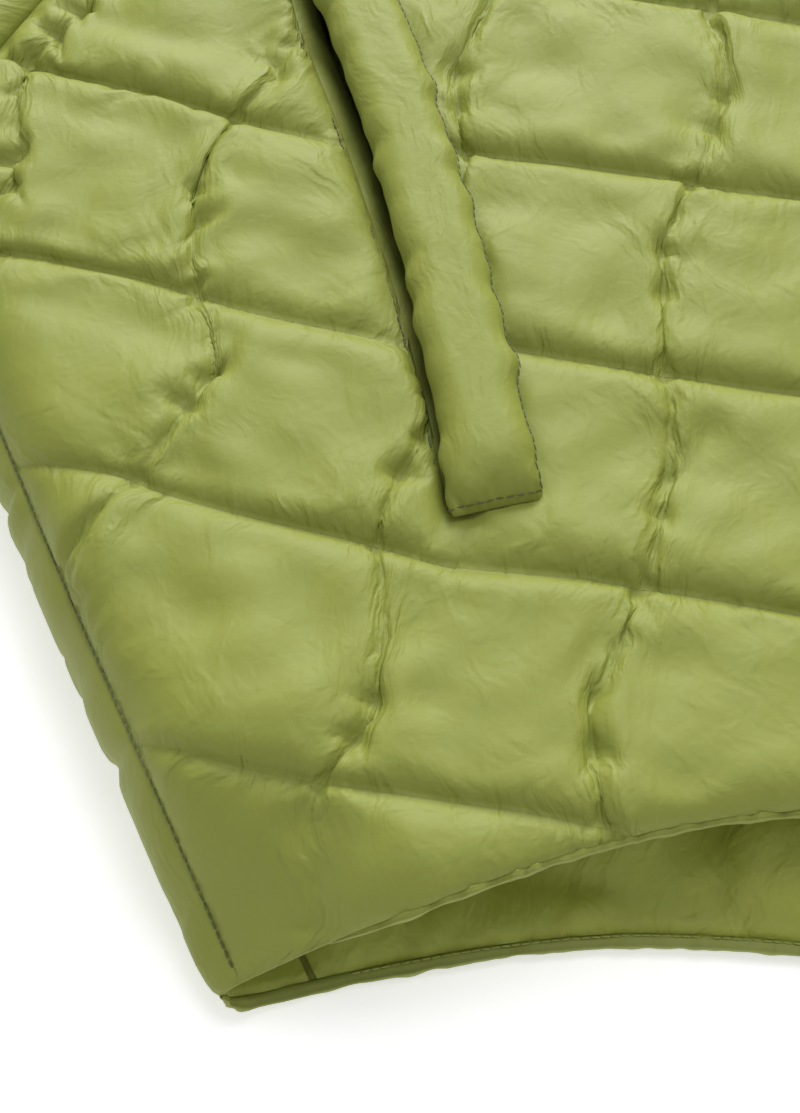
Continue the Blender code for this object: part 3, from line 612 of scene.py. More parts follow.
def row_stops(line, per_row):
    """Stations along an edge line that fall exactly on the quilting rows, about even between them."""
    t = np.linspace(0, 1, 2001)
    y = line(t)[:, 1]
    low, high = y.min(), y.max()
    rows = [FIRST_ROW + PITCH * k for k in range(-2, 12)]
    marks = [r for r in rows if low + 0.004 < r < high - 0.004]
    order = np.argsort(y)
    stops = [0.0] + [float(np.interp(r, y[order], t[order])) for r in marks] + [1.0]
    stops = sorted(stops)
    out = [0.0]
    held = [False]
    for a, b in zip(stops, stops[1:]):
        span = np.linalg.norm(line([a])[0] - line([b])[0])
        parts = max(2, int(round(span / per_row)))
        out += list(a + (b - a) * np.arange(1, parts + 1) / parts)
        held += [False] * (parts - 1) + [b < 1.0]
    return np.array(out), np.array(held)


SIDE_STOPS, SIDE_HELD = row_stops(side_point, 0.0023)
SHOULDER_STOPS, SHOULDER_HELD = row_stops(shoulder_point, 0.0034)


def wiggle(seed):
    """Quilting lines wander a little, as the padding pulls them."""
    def shift(p):
        return np.column_stack((0.0022 * noise(p, seed, 0.07), 0.0012 * noise(p, seed + 1, 0.08)))
    return shift


def row_tilt(p):
    """The open slit lets the rows drop, so between it and the side they climb outwards."""
    way = p - WELT_FOOT
    out = way @ WELT_ACROSS
    drop = -ROW_DROP * np.clip(out / WELT_WIDTH, 0, 1)
    climb = ROW_CLIMB * np.clip((out - WELT_WIDTH) / 0.085, 0, 1)
    return (drop + climb) * np.clip((way @ WELT_ALONG + 0.075) / 0.075, 0, 1)


def bowed_columns(seed, rows=14, columns=8):
    """Column lines of a front panel bow sideways from row to row, and are tacked where they turn."""
    draw = np.random.default_rng(seed)
    lean = draw.uniform(0.0038, 0.0098, (columns, rows)) * np.where(draw.random((columns, rows)) < 0.7, 1, -1)
    turn = draw.uniform(0.36, 0.56, (columns, rows))
    knot = draw.uniform(-0.0018, 0.0018, (columns, rows + 1))
    ease = wiggle(seed + 1)

    def shift(p):
        column = (-EDGE_X - p[:, 0]) / PITCH
        row = (p[:, 1] - FIRST_ROW) / PITCH + 2
        k = np.clip(np.round(column).astype(int), 0, columns - 1)
        r = np.clip(np.floor(row).astype(int), 0, rows - 1)
        share = row - r
        middle = turn[k, r]
        low, high = knot[k, r], knot[k, r + 1]
        side = lean[k, r]
        early = np.clip(share / (middle - 0.16), 0, 1)
        late = np.clip((share - middle) / (1 - middle), 0, 1)
        out = np.where(share < middle, mix(low, side * 0.55, early), mix(side, high, late))
        step = np.clip((share - (middle - 0.16)) / 0.16, 0, 1)
        out = np.where((share < middle) & (share > middle - 0.16), mix(side * 0.55, side, step), out)
        near_line = np.clip(1 - np.abs(column - k) * PITCH / 0.026, 0, 1)
        move = ease(p) * 0.5
        move[:, 0] += out * near_line + COLUMN_CROWDING * PITCH / (2 * np.pi) * np.sin(2 * np.pi * column)
        move[:, 1] += row_tilt(p) - ROW_CROWDING * PITCH / (2 * np.pi) * np.sin(2 * np.pi * row)
        return move

    def tacked(i, j, on_column, per_block):
        k = np.clip(-i // per_block, 0, columns - 1)
        r = np.clip(j // per_block + 2, 0, rows - 1)
        place = (j % per_block) / per_block
        middle = turn[k, r]
        size = 0.55 / per_block
        hit = (np.abs(place - middle) <= size) | (np.abs(place - middle + 0.16) <= size)
        hit |= (place <= 1.01 / per_block) | (place >= 1 - 1.01 / per_block)
        return on_column & hit
    return shift, tacked


def tack_points(i, j, columns, per_block, seed):
    """Tacks that gather a column line: one near each row, one or two between."""
    draw = np.random.default_rng(seed)
    shift = draw.integers(-per_block // 8, per_block // 8 + 1, size=997)
    key = ((i // per_block) * 31 + (j // per_block) * 17) % 997
    place = j % per_block
    middle = per_block // 2 + shift[key]
    close = (place <= 1) | (place >= per_block - 1)
    return columns & (close | (np.abs(place - middle) <= 0))


def welt_ceiling(p, base):
    """How high the front panel may rise under the padded welt."""
    way = p - WELT_FOOT
    s = way @ WELT_ALONG
    across = way @ WELT_ACROSS + 0.0045 * np.sin(np.pi * np.clip(s / WELT_LENGTH, 0, 1))
    out = np.maximum(np.maximum(-across, across - WELT_WIDTH), np.maximum(-s, s - WELT_LENGTH))
    room = WELT_BOTTOM - WELT_CLEAR - base[:, 2]
    return room + np.maximum(out, 0) * 1.1


def add_front(side_name):
    """One front panel: its outer face is settled over the pocket, its lining follows."""
    right = side_name == "right"
    per_block = 32 if right else 20
    seed = 40 if right else 90
    shift, tacked = bowed_columns(seed)
    p, tri, rims, i, j = cut_cloth([front_outline(), slit_loop()], (-EDGE_X, FIRST_ROW), per_block, shift)
    tri = facing_up(p, tri)
    base, normal = tube_surface(p, SEAM_DEPTH)
    rim = np.arange(len(p)) < sum(rims)
    known = j < 10 ** 5
    rows = known & (j % per_block == 0)
    columns = known & (i % per_block == 0) & ~rows
    tacks = tacked(i, j, columns, per_block)
    ceiling = welt_ceiling(p, base)
    straight = p.copy()
    straight[known] = np.column_stack((-EDGE_X + i[known] * PITCH / per_block,
                                       FIRST_ROW + j[known] * PITCH / per_block))
    outer = quilt(base, normal, tri, straight, rim, rows, (-EDGE_X, None, columns), tacks, seed + 7, ceiling,
                  steps=stage_steps(190), **FRONT_CLOTH)
    rise = ((outer - base) * normal).sum(1)
    lining_base, _ = tube_surface(p, SEAM_DEPTH + LINING_GAP)
    inner = lining_base - normal * col(0.5 * np.clip(rise, 0, 0.02))
    lines = []
    for row in sorted(set(j[rows])):
        members = np.nonzero(rows & (j == row))[0]
        members = members[np.argsort(outer[members, 0])]
        for run in np.split(members, np.nonzero(np.diff(i[members]) > 3)[0] + 1):
            if len(run) > 3:
                lines.append(outer[run])
    if not right:
        outer, inner = mirrored(outer), mirrored(inner)
        tri = tri[:, ::-1]
        lines = [mirrored(line) for line in lines]
    name = f"front_{side_name}_quilted"
    piece = add_sandwich(name, outer, inner, tri, [FINISH["quilted"], FINISH["lining"]], straight)
    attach(piece, "torso")
    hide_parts(*(f"front_{side_name}_{layer}" for layer in ("shell", "fill", "lining")))
    STITCHES.extend(("torso", "quilting", line) for line in lines)


def underarm_slack(m):
    """The cloth lies in deeper folds towards the underarm."""
    away = np.hypot(m[:, 0] - UNDERARM[0], m[:, 1] - UNDERARM[1] - 0.03)
    share = np.clip(1 - away / 0.13, 0, 1)
    return 0.10 * share * share * (3 - 2 * share)


FRONT_CLOTH = {"across": 0.010, "along": 0.016, "gather": 0.23, "gather_width": 0.0090, "lift": 0.0022,
               "push": 0.000012, "fold": 0.05, "seam_gather": 0.10, "repeats": 3, "slack": underarm_slack,
               "float_low": 0.0002, "knot": -0.0004, "crumple": 0.014, "loft": 0.0046}
STITCHES = []
FINISH = {}


# Back: flat underside, sides and shoulders that wrap up to the seams, and the quilted lining

def back_half_outline():
    x = np.linspace(0.0, HEM_END[0], 70)
    hem = np.column_stack((x, back_hem(x)))
    side = side_point(SIDE_STOPS) + side_inward(SIDE_STOPS) * RADIUS
    stops = SHOULDER_STOPS[::-1]
    shoulder = shoulder_point(stops) + shoulder_inward(stops) * RADIUS
    x = np.linspace(NECK[0], 0.0, 30)[1:]
    neck = np.column_stack((x, neckline(x, 0.0, BACK_NECK_Y)))
    return hem, side, shoulder, neck


def wrap_strip(line, inward, stops, held, seam, count=26):
    """Grid of the tube's rounded edge from the floor up to the seam, row by row of stations."""
    radius = RADIUS - SEAM_DEPTH
    angles = np.linspace(-np.pi / 2, seam, count + 1)
    start, turn = line(stops), inward(stops)
    points, normals = [], []
    for angle in angles:
        plan = start + turn * (RADIUS - radius * math.cos(angle))
        points.append(np.column_stack((plan, np.full(len(plan), RADIUS + radius * math.sin(angle)))))
        normals.append(np.column_stack((-turn * math.cos(angle), np.full(len(plan), math.sin(angle)))))
    length = np.concatenate(([0], np.cumsum(np.linalg.norm(np.diff(start, axis=0), axis=1))))
    pattern = np.array([(radius * (a + np.pi / 2), s) for a in angles for s in length])
    size = len(stops)
    tri = grid_triangles(count + 1, size)
    rim = np.zeros((count + 1, size), bool)
    rim[0], rim[-1], rim[:, 0], rim[:, -1] = True, True, True, True
    rows = np.tile(held, (count + 1, 1)) & ~rim
    return np.concatenate(points), np.concatenate(normals), tri, pattern, rim.ravel(), rows.ravel()


def settle_strip(strip, seed, along):
    """Settle a wrapped edge strip, its rows drawn in and its loft kept low."""
    base, normal, tri, pattern, rim, rows = strip
    none = np.zeros(len(base), bool)
    ceiling = floor_room(base, normal)
    tri = facing_out(base, tri, normal)
    outer = quilt(base, normal, tri, pattern, rim, rows, (0.0, far_off, none), none,
                  seed, np.minimum(ceiling, STRIP_LOFT), steps=stage_steps(120), push=0.00001, fold=0.25,
                  across=0.01, crumple=0.02, along=along, gather=0.0, lift=0.004)
    return outer, tri


def add_back():
    """The back with its wrapped sides, and its lining seen under the lifted fronts."""
    per_block = 18
    hem, side, shoulder, neck = back_half_outline()
    half = np.concatenate((hem[:-1], side, shoulder, neck))
    loop = np.concatenate((half, mirrored(half[1:-1])[::-1]))
    p, tri, rims, i, j = cut_cloth([loop], (0.002, FIRST_ROW), per_block, wiggle(130))
    tri = facing_up(p, tri)
    rim = np.arange(len(p)) < rims[0]
    known = j < 10 ** 5
    rows = known & (j % per_block == 0)
    columns = known & (i % per_block == 0) & ~rows
    tacks = tack_points(i, j, columns, per_block, 135)
    up = np.tile((0.0, 0.0, 1.0), (len(p), 1))
    level = SEAM_DEPTH + LINING_GAP
    base = np.column_stack((p, np.full(len(p), level)))
    lining = quilt(base, up, tri, p, rim, rows, (0.002, None, columns), tacks, 137, steps=stage_steps(110),
                   push=0.00001, fold=0.10, across=0.02, along=0.02, gather=0.25, gather_width=0.007,
                   lift=0.003, crumple=0.03, repeats=3)
    off = np.minimum(np.abs(((p[:, 0] - 0.002) / PITCH + 0.5) % 1 - 0.5),
                     np.abs(((p[:, 1] - FIRST_ROW) / PITCH + 0.5) % 1 - 0.5)) * PITCH
    under = np.clip(1 - off / 0.009, 0, 1)
    bottom = np.column_stack((p, SEAM_DEPTH * under * under * (3 - 2 * under) + 0.0001))
    bottom[rim, 2] = SEAM_DEPTH
    outer_points, inner_points, faces, pattern = [bottom], [lining], [tri[:, ::-1]], [p]
    start = len(p)
    strips = ((side_point, side_inward, SIDE_STOPS, SIDE_HELD, 151, 0.035),
              (shoulder_point, shoulder_inward, SHOULDER_STOPS, SHOULDER_HELD, 161, 0.03))
    for line, inward, stops, held, seed, along in strips:
        strip = wrap_strip(line, inward, stops, held, SEAM_ANGLE)
        for flip in (False, True):
            settled, strip_tri = settle_strip(strip, seed + flip, along)
            inside_face = lining_of(settled, strip[0], strip[1], LINING_GAP, 0.4, 0.01)
            if flip:
                settled, inside_face = mirrored(settled), mirrored(inside_face)
                strip_tri = strip_tri[:, ::-1]
            outer_points.append(settled)
            inner_points.append(inside_face)
            faces.append(strip_tri + start)
            pattern.append(strip[3])
            start += len(settled)
    outer = np.concatenate(outer_points)
    inner = np.concatenate(inner_points)
    faces = np.concatenate(faces)
    pattern = np.concatenate(pattern)
    outer, inner, faces, pattern = weld(outer, inner, faces, pattern)
    piece = add_sandwich("back_quilted", outer, inner, faces, [FINISH["shell"], FINISH["lining"]], pattern)
    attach(piece, "torso")
    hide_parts("back_shell", "back_fill", "back_lining")


def weld(outer, inner, faces, pattern, reach=2e-5):
    """Join points of both faces that coincide on the outer face."""
    cell = np.round(outer / reach).astype(np.int64)
    _, first, back = np.unique(cell, axis=0, return_index=True, return_inverse=True)
    back = back.ravel()
    faces = back[faces]
    live = (faces[:, 0] != faces[:, 1]) & (faces[:, 1] != faces[:, 2]) & (faces[:, 2] != faces[:, 0])
    return outer[first], inner[first], faces[live], pattern[first]


# Sleeves

def sleeve_ring(t, around, depth):
    """Points and normals round the flattened sleeve at share t of its length."""
    direction = np.array((-math.cos(SLEEVE_DROP), -math.sin(SLEEVE_DROP)))
    across = np.array((direction[1], -direction[0]))
    cuff = (UNDERARM + SHOULDER) / 2 + direction * SLEEVE_LENGTH
    low = mix(UNDERARM, cuff - across * CUFF_WIDTH / 2, t)
    high = mix(SHOULDER, cuff + across * CUFF_WIDTH / 2, t)
    half = mix(RADIUS, CUFF_THICKNESS / 2, t)
    width = np.linalg.norm(high - low)
    way = (high - low) / width
    flat = width - 2 * half
    radius = half - depth
    total = 2 * flat + 2 * np.pi * half
    s = (np.arange(around) / around) * total
    points, normals = np.zeros((around, 3)), np.zeros((around, 3))
    for k, place in enumerate(s):
        if place < flat:
            plan, z, n2, nz = low + way * (half + place), half + radius, 0.0, 1.0
        elif place < flat + np.pi * half:
            angle = (place - flat) / half
            plan = high - way * (half - radius * math.sin(angle))
            z, n2, nz = half + radius * math.cos(angle), math.sin(angle), math.cos(angle)
        elif place < 2 * flat + np.pi * half:
            plan = high - way * (half + place - flat - np.pi * half)
            z, n2, nz = half - radius, 0.0, -1.0
        else:
            angle = (place - 2 * flat - np.pi * half) / half
            plan = low + way * (half - radius * math.sin(angle))
            z, n2, nz = half - radius * math.cos(angle), -math.sin(angle), -math.cos(angle)
        points[k] = (*plan, z)
        normals[k] = (*(way * n2), nz)
    return points, normals


def add_sleeve(side_name):
    """One quilted sleeve, a tube from the armhole to the cuff."""
    right = side_name == "right"
    bands, lines, fine = 7, 10, 18
    along = bands * 19
    around = lines * fine
    base, normal, pattern = [], [], []
    for row in range(along + 1):
        points, normals = sleeve_ring(row / along, around, SEAM_DEPTH)
        base.append(points)
        normal.append(normals)
        share = np.arange(around) / around
        pattern += list(zip(share * PITCH * lines, np.full(around, row / along * SLEEVE_LENGTH)))
    base, normal, pattern = np.concatenate(base), np.concatenate(normal), np.array(pattern)
    tri = grid_triangles(along + 1, around, True)
    k = np.arange(len(base))
    row, column = k // around, k % around
    rim = (row == 0) | (row == along)
    rows = (row % 19 == 0) & ~rim
    columns = (column % fine == 0) & ~rows & ~rim
    tacks = columns & ((row % 19 == 9) | (row % 19 <= 1) | (row % 19 == 18))
    tri = facing_out(base, tri, normal)
    ceiling = floor_room(base, normal)
    spaced = pattern.copy()
    spaced[:, 0] += 1e-4 * (column == 0)

    def off_line(m):
        return ((m[:, 0] / PITCH + 0.5) % 1 - 0.5) * PITCH

    outer = quilt(base, normal, tri, spaced, rim, rows, (0.0, off_line, columns), tacks, 200 + right, ceiling,
                  steps=stage_steps(110), push=0.000013, fold=0.1, across=0.015, along=0.02, gather=0.25,
                  gather_width=0.007, lift=0.003, crumple=0.014, loft=0.0062)
    inner = lining_of(outer, base, normal, LINING_GAP, 0.4, 0.01)
    held = []
    for r in range(19, along, 19):
        ring = outer[row == r]
        held.append(np.concatenate((ring, ring[:1])))
    if not right:
        outer, inner = mirrored(outer), mirrored(inner)
        tri = tri[:, ::-1]
        held = [mirrored(line) for line in held]
    body = "sleeve_" + side_name
    piece = add_sandwich(f"sleeve_{side_name}_quilted", outer, inner, tri,
                         [FINISH["shell"], FINISH["lining"]], pattern)
    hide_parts(*(f"{body}_{layer}" for layer in ("shell", "fill", "lining")))

    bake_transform(piece)
    STITCHES.extend((body, "quilting", line) for line in held[1:])


# Collar

def collar_route(way, depth):
    """Point and normal of the collar's flattened loop, way from the right front edge."""
    bend_x = -NECK[0] - COLLAR_GAP - RADIUS
    flat_front = bend_x - EDGE_X
    arc = np.pi * RADIUS
    total = 2 * flat_front + 2 * bend_x + 2 * arc
    flip = way > total / 2
    way = np.where(flip, total - way, way)
    radius = RADIUS - depth
    angle = np.clip((way - flat_front) / RADIUS, 0, np.pi)
    bent = (way > flat_front) & (way < flat_front + arc)
    past = way >= flat_front + arc
    straight_x = np.where(past, way - flat_front - arc - bend_x, -EDGE_X - way)
    x = np.where(bent, -bend_x - radius * np.sin(angle), straight_x)
    z = np.where(bent, RADIUS + radius * np.cos(angle), np.where(past, RADIUS - radius, RADIUS + radius))
    nx = np.where(bent, -np.sin(angle), 0.0)
    nz = np.where(bent, np.cos(angle), np.where(past, -1.0, 1.0))
    sign = np.where(flip, -1.0, 1.0)
    return x * sign, z, nx * sign, nz, total


def add_collar():
    """The stand collar, folded flat along the neck."""
    total = collar_route(np.zeros(1), 0.0)[4]
    count, tall = 120, 22
    way = np.linspace(0, total, count + 1)
    x, z, nx, nz, _ = collar_route(way, SEAM_DEPTH)
    flat_x = collar_route(way, 0.0)[0]
    front = neckline(-np.maximum(np.abs(flat_x), EDGE_X), -EDGE_X, FRONT_NECK_Y)
    back = neckline(-np.abs(flat_x), 0.0, BACK_NECK_Y)
    blend = np.clip((z - SEAM_DEPTH) / (THICKNESS - 2 * SEAM_DEPTH), 0, 1)
    foot = np.maximum(np.where(blend > 0.98, front, 0), np.where(blend < 0.02, back, 0))
    foot = np.where((blend >= 0.02) & (blend <= 0.98), np.maximum(front, back), foot)
    rises = np.linspace(0, 1, tall + 1)
    base = np.concatenate([np.column_stack((x, foot + r * COLLAR_HEIGHT, z)) for r in rises])
    normal = unit(np.tile(np.column_stack((nx, np.zeros(count + 1), nz)), (tall + 1, 1)))
    pattern = np.array([(w, r * COLLAR_HEIGHT) for r in rises for w in way])
    tri = grid_triangles(tall + 1, count + 1)
    tri = facing_out(base, tri, normal)
    k = np.arange(len(base))
    row, column = k // (count + 1), k % (count + 1)
    rim = (row == 0) | (row == tall) | (column == 0) | (column == count)
    middle = (row == tall // 2) & ~rim
    none = np.zeros(len(base), bool)
    ceiling = floor_room(base, normal)
    outer = quilt(base, normal, tri, pattern, rim, middle, (0.0, far_off, none), none,
                  301, ceiling, steps=stage_steps(120), push=0.00002, fold=0.15, across=0.09, along=0.03,
                  gather=0.0)
    inner = lining_of(outer, base, normal, 0.0014, 0.5, 0.01)
    piece = add_sandwich("collar_quilted", outer, inner, tri, [FINISH["shell"], FINISH["lining"]], pattern)
    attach(piece, "torso")
    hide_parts("collar_shell", "collar_fill", "collar_lining")
    line = outer[middle]
    STITCHES.append(("torso", "quilting", line))


# Hand pockets

def loft(rings):
    """Closed tube through rings of equal size; its ends are closed by a fan."""
    size = len(rings[0])
    points = np.concatenate(rings)
    faces = [tuple(f) for f in grid_triangles(len(rings), size, True)]
    last = len(points)
    points = np.concatenate((points, [rings[0].mean(0)], [rings[-1].mean(0)]))
    top = (len(rings) - 1) * size
    for k in range(size):
        n = (k + 1) % size
        faces.append((n, k, last))
        faces.append((top + k, top + n, last + 1))
    return points, np.array(faces)


def outward(points, faces):
    """Turn a closed mesh so that its faces point outwards."""
    a, b, c = points[faces[:, 0]], points[faces[:, 1]], points[faces[:, 2]]
    volume = np.einsum("ij,ij->i", a, np.cross(b, c)).sum()
    return faces if volume > 0 else faces[:, ::-1]


def hinge_welt(piece, side_name):
    """Bake the welt's placement into its points; the places beside its inner edge where it would hinge are
    worked out but not used.
    """
    sign = -1.0 if side_name == "left" else 1.0

    def place(across):
        plan = WELT_FOOT + WELT_ALONG * (WELT_LENGTH / 2) + WELT_ACROSS * across
        return (sign * plan[0], plan[1] + SHIFT, WELT_BOTTOM)

    "pocket_welt_" + side_name
    place(-0.002)
    place(0.009)
    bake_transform(piece)


def add_welt(side_name):
    """Padded welt: a roll sewn down along its inner edge, with soft lengthwise wrinkles."""
    flip = side_name == "left"
    stations, around = 120, 40
    s = np.linspace(0, WELT_LENGTH, stations + 1)
    rings, pattern = [], []
    for k in range(around):
        turn = k / around
        if turn < 0.62:
            angle = np.pi * turn / 0.62
            share = (1 - math.cos(angle)) / 2
            rise = math.sin(angle) ** 0.6
        else:
            share = 1 - (turn - 0.62) / 0.38
            rise = 0.0
        inner_edge = welt_line(s, 0.0, 0.0036)
        free_edge = welt_line(s, WELT_WIDTH, 0.0055)
        plan = inner_edge + (free_edge - inner_edge) * share
        end = np.clip(np.minimum(s, WELT_LENGTH - s) / 0.014, 0, 1) ** 0.6
        height = (WELT_TOP - WELT_BOTTOM - 0.0026) * rise * (0.10 + 0.90 * end)
        rings.append(np.column_stack((plan, WELT_BOTTOM + 0.0006 * end + height)))
        pattern.append(np.column_stack((np.full(len(s), k / around * 0.054), s)))
    base = np.stack(rings, 1).reshape(-1, 3)
    pattern = np.stack(pattern, 1).reshape(-1, 2)
    tri = outward(base, grid_triangles(stations + 1, around, True))
    at_rest = Cloth(base, tri, pattern, lambda m: np.ones((len(m), 2)), np.zeros(len(base), bool))
    normal = at_rest.normals()
    k = np.arange(len(base))
    row, column = k // around, k % around
    sewn = (column == 0) | (column == around - 1)
    under = column > 0.62 * around
    fixed = sewn | (row == 0) | (row == stations)
    start = base + normal * col(0.0004 * noise(pattern, 401 + flip, 0.012))
    start[fixed] = base[fixed]

    def growth(m):
        patch = 1 + 0.5 * noise(m, 405 + flip, 0.03)
        return np.column_stack((1.09 + 0.05 * patch, np.full(len(m), 1.004)))

    floor = base[:, 2] - 0.0003
    top = WELT_TOP + 0.0012

    def hold(cloth):
        cloth.x[fixed] = base[fixed]
        cloth.x[under] = base[under] + 0.3 * (cloth.x[under] - base[under])
        cloth.x[:, 2] = np.clip(cloth.x[:, 2], np.minimum(floor, WELT_BOTTOM + 0.0003), top)

    cloth = Cloth(start, tri, pattern, growth, fixed)
    x = cloth.run(stage_steps(170), 0.00001, 0.10, hold, 2)
    points = np.concatenate((x, [x[row == 0].mean(0)], [x[row == stations].mean(0)]))
    caps = []
    top_row = stations * around
    for m in range(around):
        n = (m + 1) % around
        caps += [(m, n, len(x)), (top_row + n, top_row + m, len(x) + 1)]
    faces = outward(points, np.concatenate((tri, caps)))
    cut = np.concatenate((pattern, [pattern[0]], [pattern[-1]]))
    turned = cloth.normals()
    edge = (x + turned * 0.00025)[(column == 3) & (row > 1)]
    foot_line = (x + turned * 0.0002)[(row == 1) & (column >= 3) & (column <= 0.58 * around)]
    lines = [edge, foot_line]
    if flip:
        points, faces = mirrored(points), faces[:, ::-1]
        lines = [mirrored(line) for line in lines]
    body = "pocket_welt_" + side_name
    piece = add_mesh(body + "_padded", points, faces, [FINISH["shell"]], None, cut)
    hinge_welt(piece, side_name)
    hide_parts(body + "_shell", body + "_fill")
    STITCHES.extend((body, "seam", line) for line in lines)


# The bag from its mouth down: share of the way from slit to pouch, slip sideways, height
BAG_LEVELS = (
    (0.0, 0.0, 0.0466), (0.0, 0.25, 0.0461), (0.0, 0.7, 0.0451), (0.0, 1.2, 0.0434), (0.0, 1.7, 0.0412),
    (0.0, 2.1, 0.0382), (0.03, 2.3, 0.0350), (0.12, 2.0, 0.0334), (0.30, 1.0, 0.0330), (0.55, 0.6, 0.0329),
    (0.80, 0.3, 0.0328), (0.97, 0.0, 0.0322), (1.0, 0.0, 0.0305), (0.97, 0.0, 0.0287), (0.80, 0.0, 0.0280),
    (0.55, 0.0, 0.0278), (0.30, 0.0, 0.0277), (0.12, 0.0, 0.0277))


def add_pocket(side_name):
    """Pocket bag: its mouth starts at the panel's cut edges and opens into a flat pouch."""
    flip = side_name == "left"
    mouth = slit_loop()
    half = len(mouth) // 2
    count = len(mouth)
    start = (WELT_LENGTH - BAG_LENGTH) / 2
    low_across, high_across = -0.112, WELT_WIDTH + 0.013
    s = np.concatenate((np.linspace(start, start + BAG_LENGTH, half),
                        np.linspace(start + BAG_LENGTH, start, count - half)))
    across = np.concatenate((np.full(half, low_across), np.full(count - half, high_across)))
    pouch = WELT_FOOT + WELT_ALONG * col(s) + WELT_ACROSS * col(across)
    centre = mouth.mean(0)
    slip = -WELT_ACROSS * 0.004
    rings = []
    for k, (open_share, slide, z) in enumerate(BAG_LEVELS):
        plan = mix(mouth, pouch, open_share) + slip * slide
        ripple = 0.0005 * noise(plan, 420, 0.022) * min(1.0, k / 3)
        rings.append(np.column_stack((plan, z + ripple)))
    points = np.concatenate(rings)
    faces = [tuple(f) for f in grid_triangles(len(rings), count, True)]
    last = (len(rings) - 1) * count
    points = np.concatenate((points, [rings[-1].mean(0)]))
    faces += [(last + k, last + (k + 1) % count, len(points) - 1) for k in range(count)]
    faces = np.array(faces)
    a, b, c = (points[faces[0, m]] for m in range(3))
    towards = np.cross(b - a, c - a)
    middle = np.append(centre, 0.045)
    if np.dot(towards, middle - a) < 0:
        faces = faces[:, ::-1]
    pattern = points[:, :2]
    if flip:
        points, faces = mirrored(points), faces[:, ::-1]
    piece = add_mesh("pocket_bag_" + side_name + "_sewn", points, faces, [FINISH["facing"]], None, pattern)
    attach(piece, "torso")
    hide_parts("pocket_bag_" + side_name)
    s = np.linspace(0.006, 0.192, 90)
    seam = np.column_stack((slit_seam(s) + WELT_ACROSS * 0.0012, np.full(90, 0.0474)))
    STITCHES.append(("torso", "seam", mirrored(seam) if flip else seam))


# Edge bands

def add_band(name, path, normal, down, node, body, size, finish, seed, closed=False):
    """Gathered edge band: a narrow padded strip along an edge, puckered where it is stitched."""
    width, thick = size
    length = np.concatenate(([0], np.cumsum(np.linalg.norm(np.diff(path, axis=0), axis=1))))
    strip = np.column_stack((length, np.zeros(len(length))))
    swell = noise(strip, seed, 0.011)
    fine = noise(strip, seed + 1, 0.0045)
    around = 16
    rings = []
    ends = np.ones(len(length))
    if not closed:
        ends = np.clip(np.minimum(length, length[-1] - length) / 0.012, 0.04, 1) ** 0.5
    for k in range(around):
        angle = 2 * np.pi * k / around
        reach = -math.cos(angle)
        lift = math.sin(angle)
        body_width = width / 2 * (1 + 0.05 * swell) * ends
        puff = thick / 2 * (1 + 0.22 * swell + 0.10 * fine) * ends
        pinch = 1 - 0.42 * math.exp(-((reach - PINCH) / 0.16) ** 2)
        across = down * col(body_width * (1 + np.sign(reach) * abs(reach) ** 0.8))
        out = normal * col(puff * np.sign(lift) * abs(lift) ** 0.7 * pinch + 0.00025 * fine)
        rings.append(path + across + out)
    stations = len(path)
    base = np.stack(rings, 1).reshape(-1, 3)
    tri = grid_triangles(stations, around, True)
    if closed:
        join = [(stations - 1) * around + k for k in range(around)]
        extra = []
        for k in range(around):
            n = (k + 1) % around
            extra += [(join[k], join[n], n), (join[k], n, k)]
        tri = np.concatenate((tri, extra))
        faces, points = tri, base
    else:
        points, faces = loft(np.split(base, stations))
    faces = outward(points, faces)
    pattern = np.zeros((len(points), 2))
    pattern[:len(base), 0] = np.repeat(length, around)
    pattern[:len(base), 1] = np.tile(np.arange(around) / around * 2 * width, stations)
    piece = add_mesh(name, points, faces, [finish], None, pattern)
    if body:
        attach(piece, body)
    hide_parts(node)
    stitch = path + down * col(width / 2 * (1 + PINCH)) + normal * col(thick / 2 * 0.62)
    return stitch


def hem_path(side):
    """Hem edge of the right half, from the centre or front edge out and round the corner."""
    line = back_hem if side < 0 else front_hem
    start = 0.0 if side < 0 else -EDGE_X
    x = np.linspace(start, HEM_END[0], 170)
    radius = RADIUS - SEAM_DEPTH - EDGE_INSET
    flat = np.column_stack((x, line(x), np.full(len(x), RADIUS + side * radius)))
    turn = np.tile((0.0, 0.0, float(side)), (len(x), 1))
    angle = np.linspace(side * np.pi / 2, SEAM_ANGLE, 34 if side < 0 else 12)[1:]
    plan = CORNER + HEM_INWARD * (RADIUS - radius * col(np.cos(angle)))
    round_part = np.column_stack((plan, RADIUS + radius * np.sin(angle)))
    round_turn = np.column_stack((-HEM_INWARD * col(np.cos(angle)), np.sin(angle)))
    path = np.concatenate((flat, round_part))
    normal = np.concatenate((turn, round_turn))
    share = np.clip((np.abs(path[:, 0]) - 0.1) / 0.12, 0, 1)
    plan_down = unit(mix(np.array((0.0, -1.0)), np.array((HEM_INWARD[1], -HEM_INWARD[0])), col(share)))
    down = np.column_stack((plan_down, np.zeros(len(path))))
    return path, normal, down


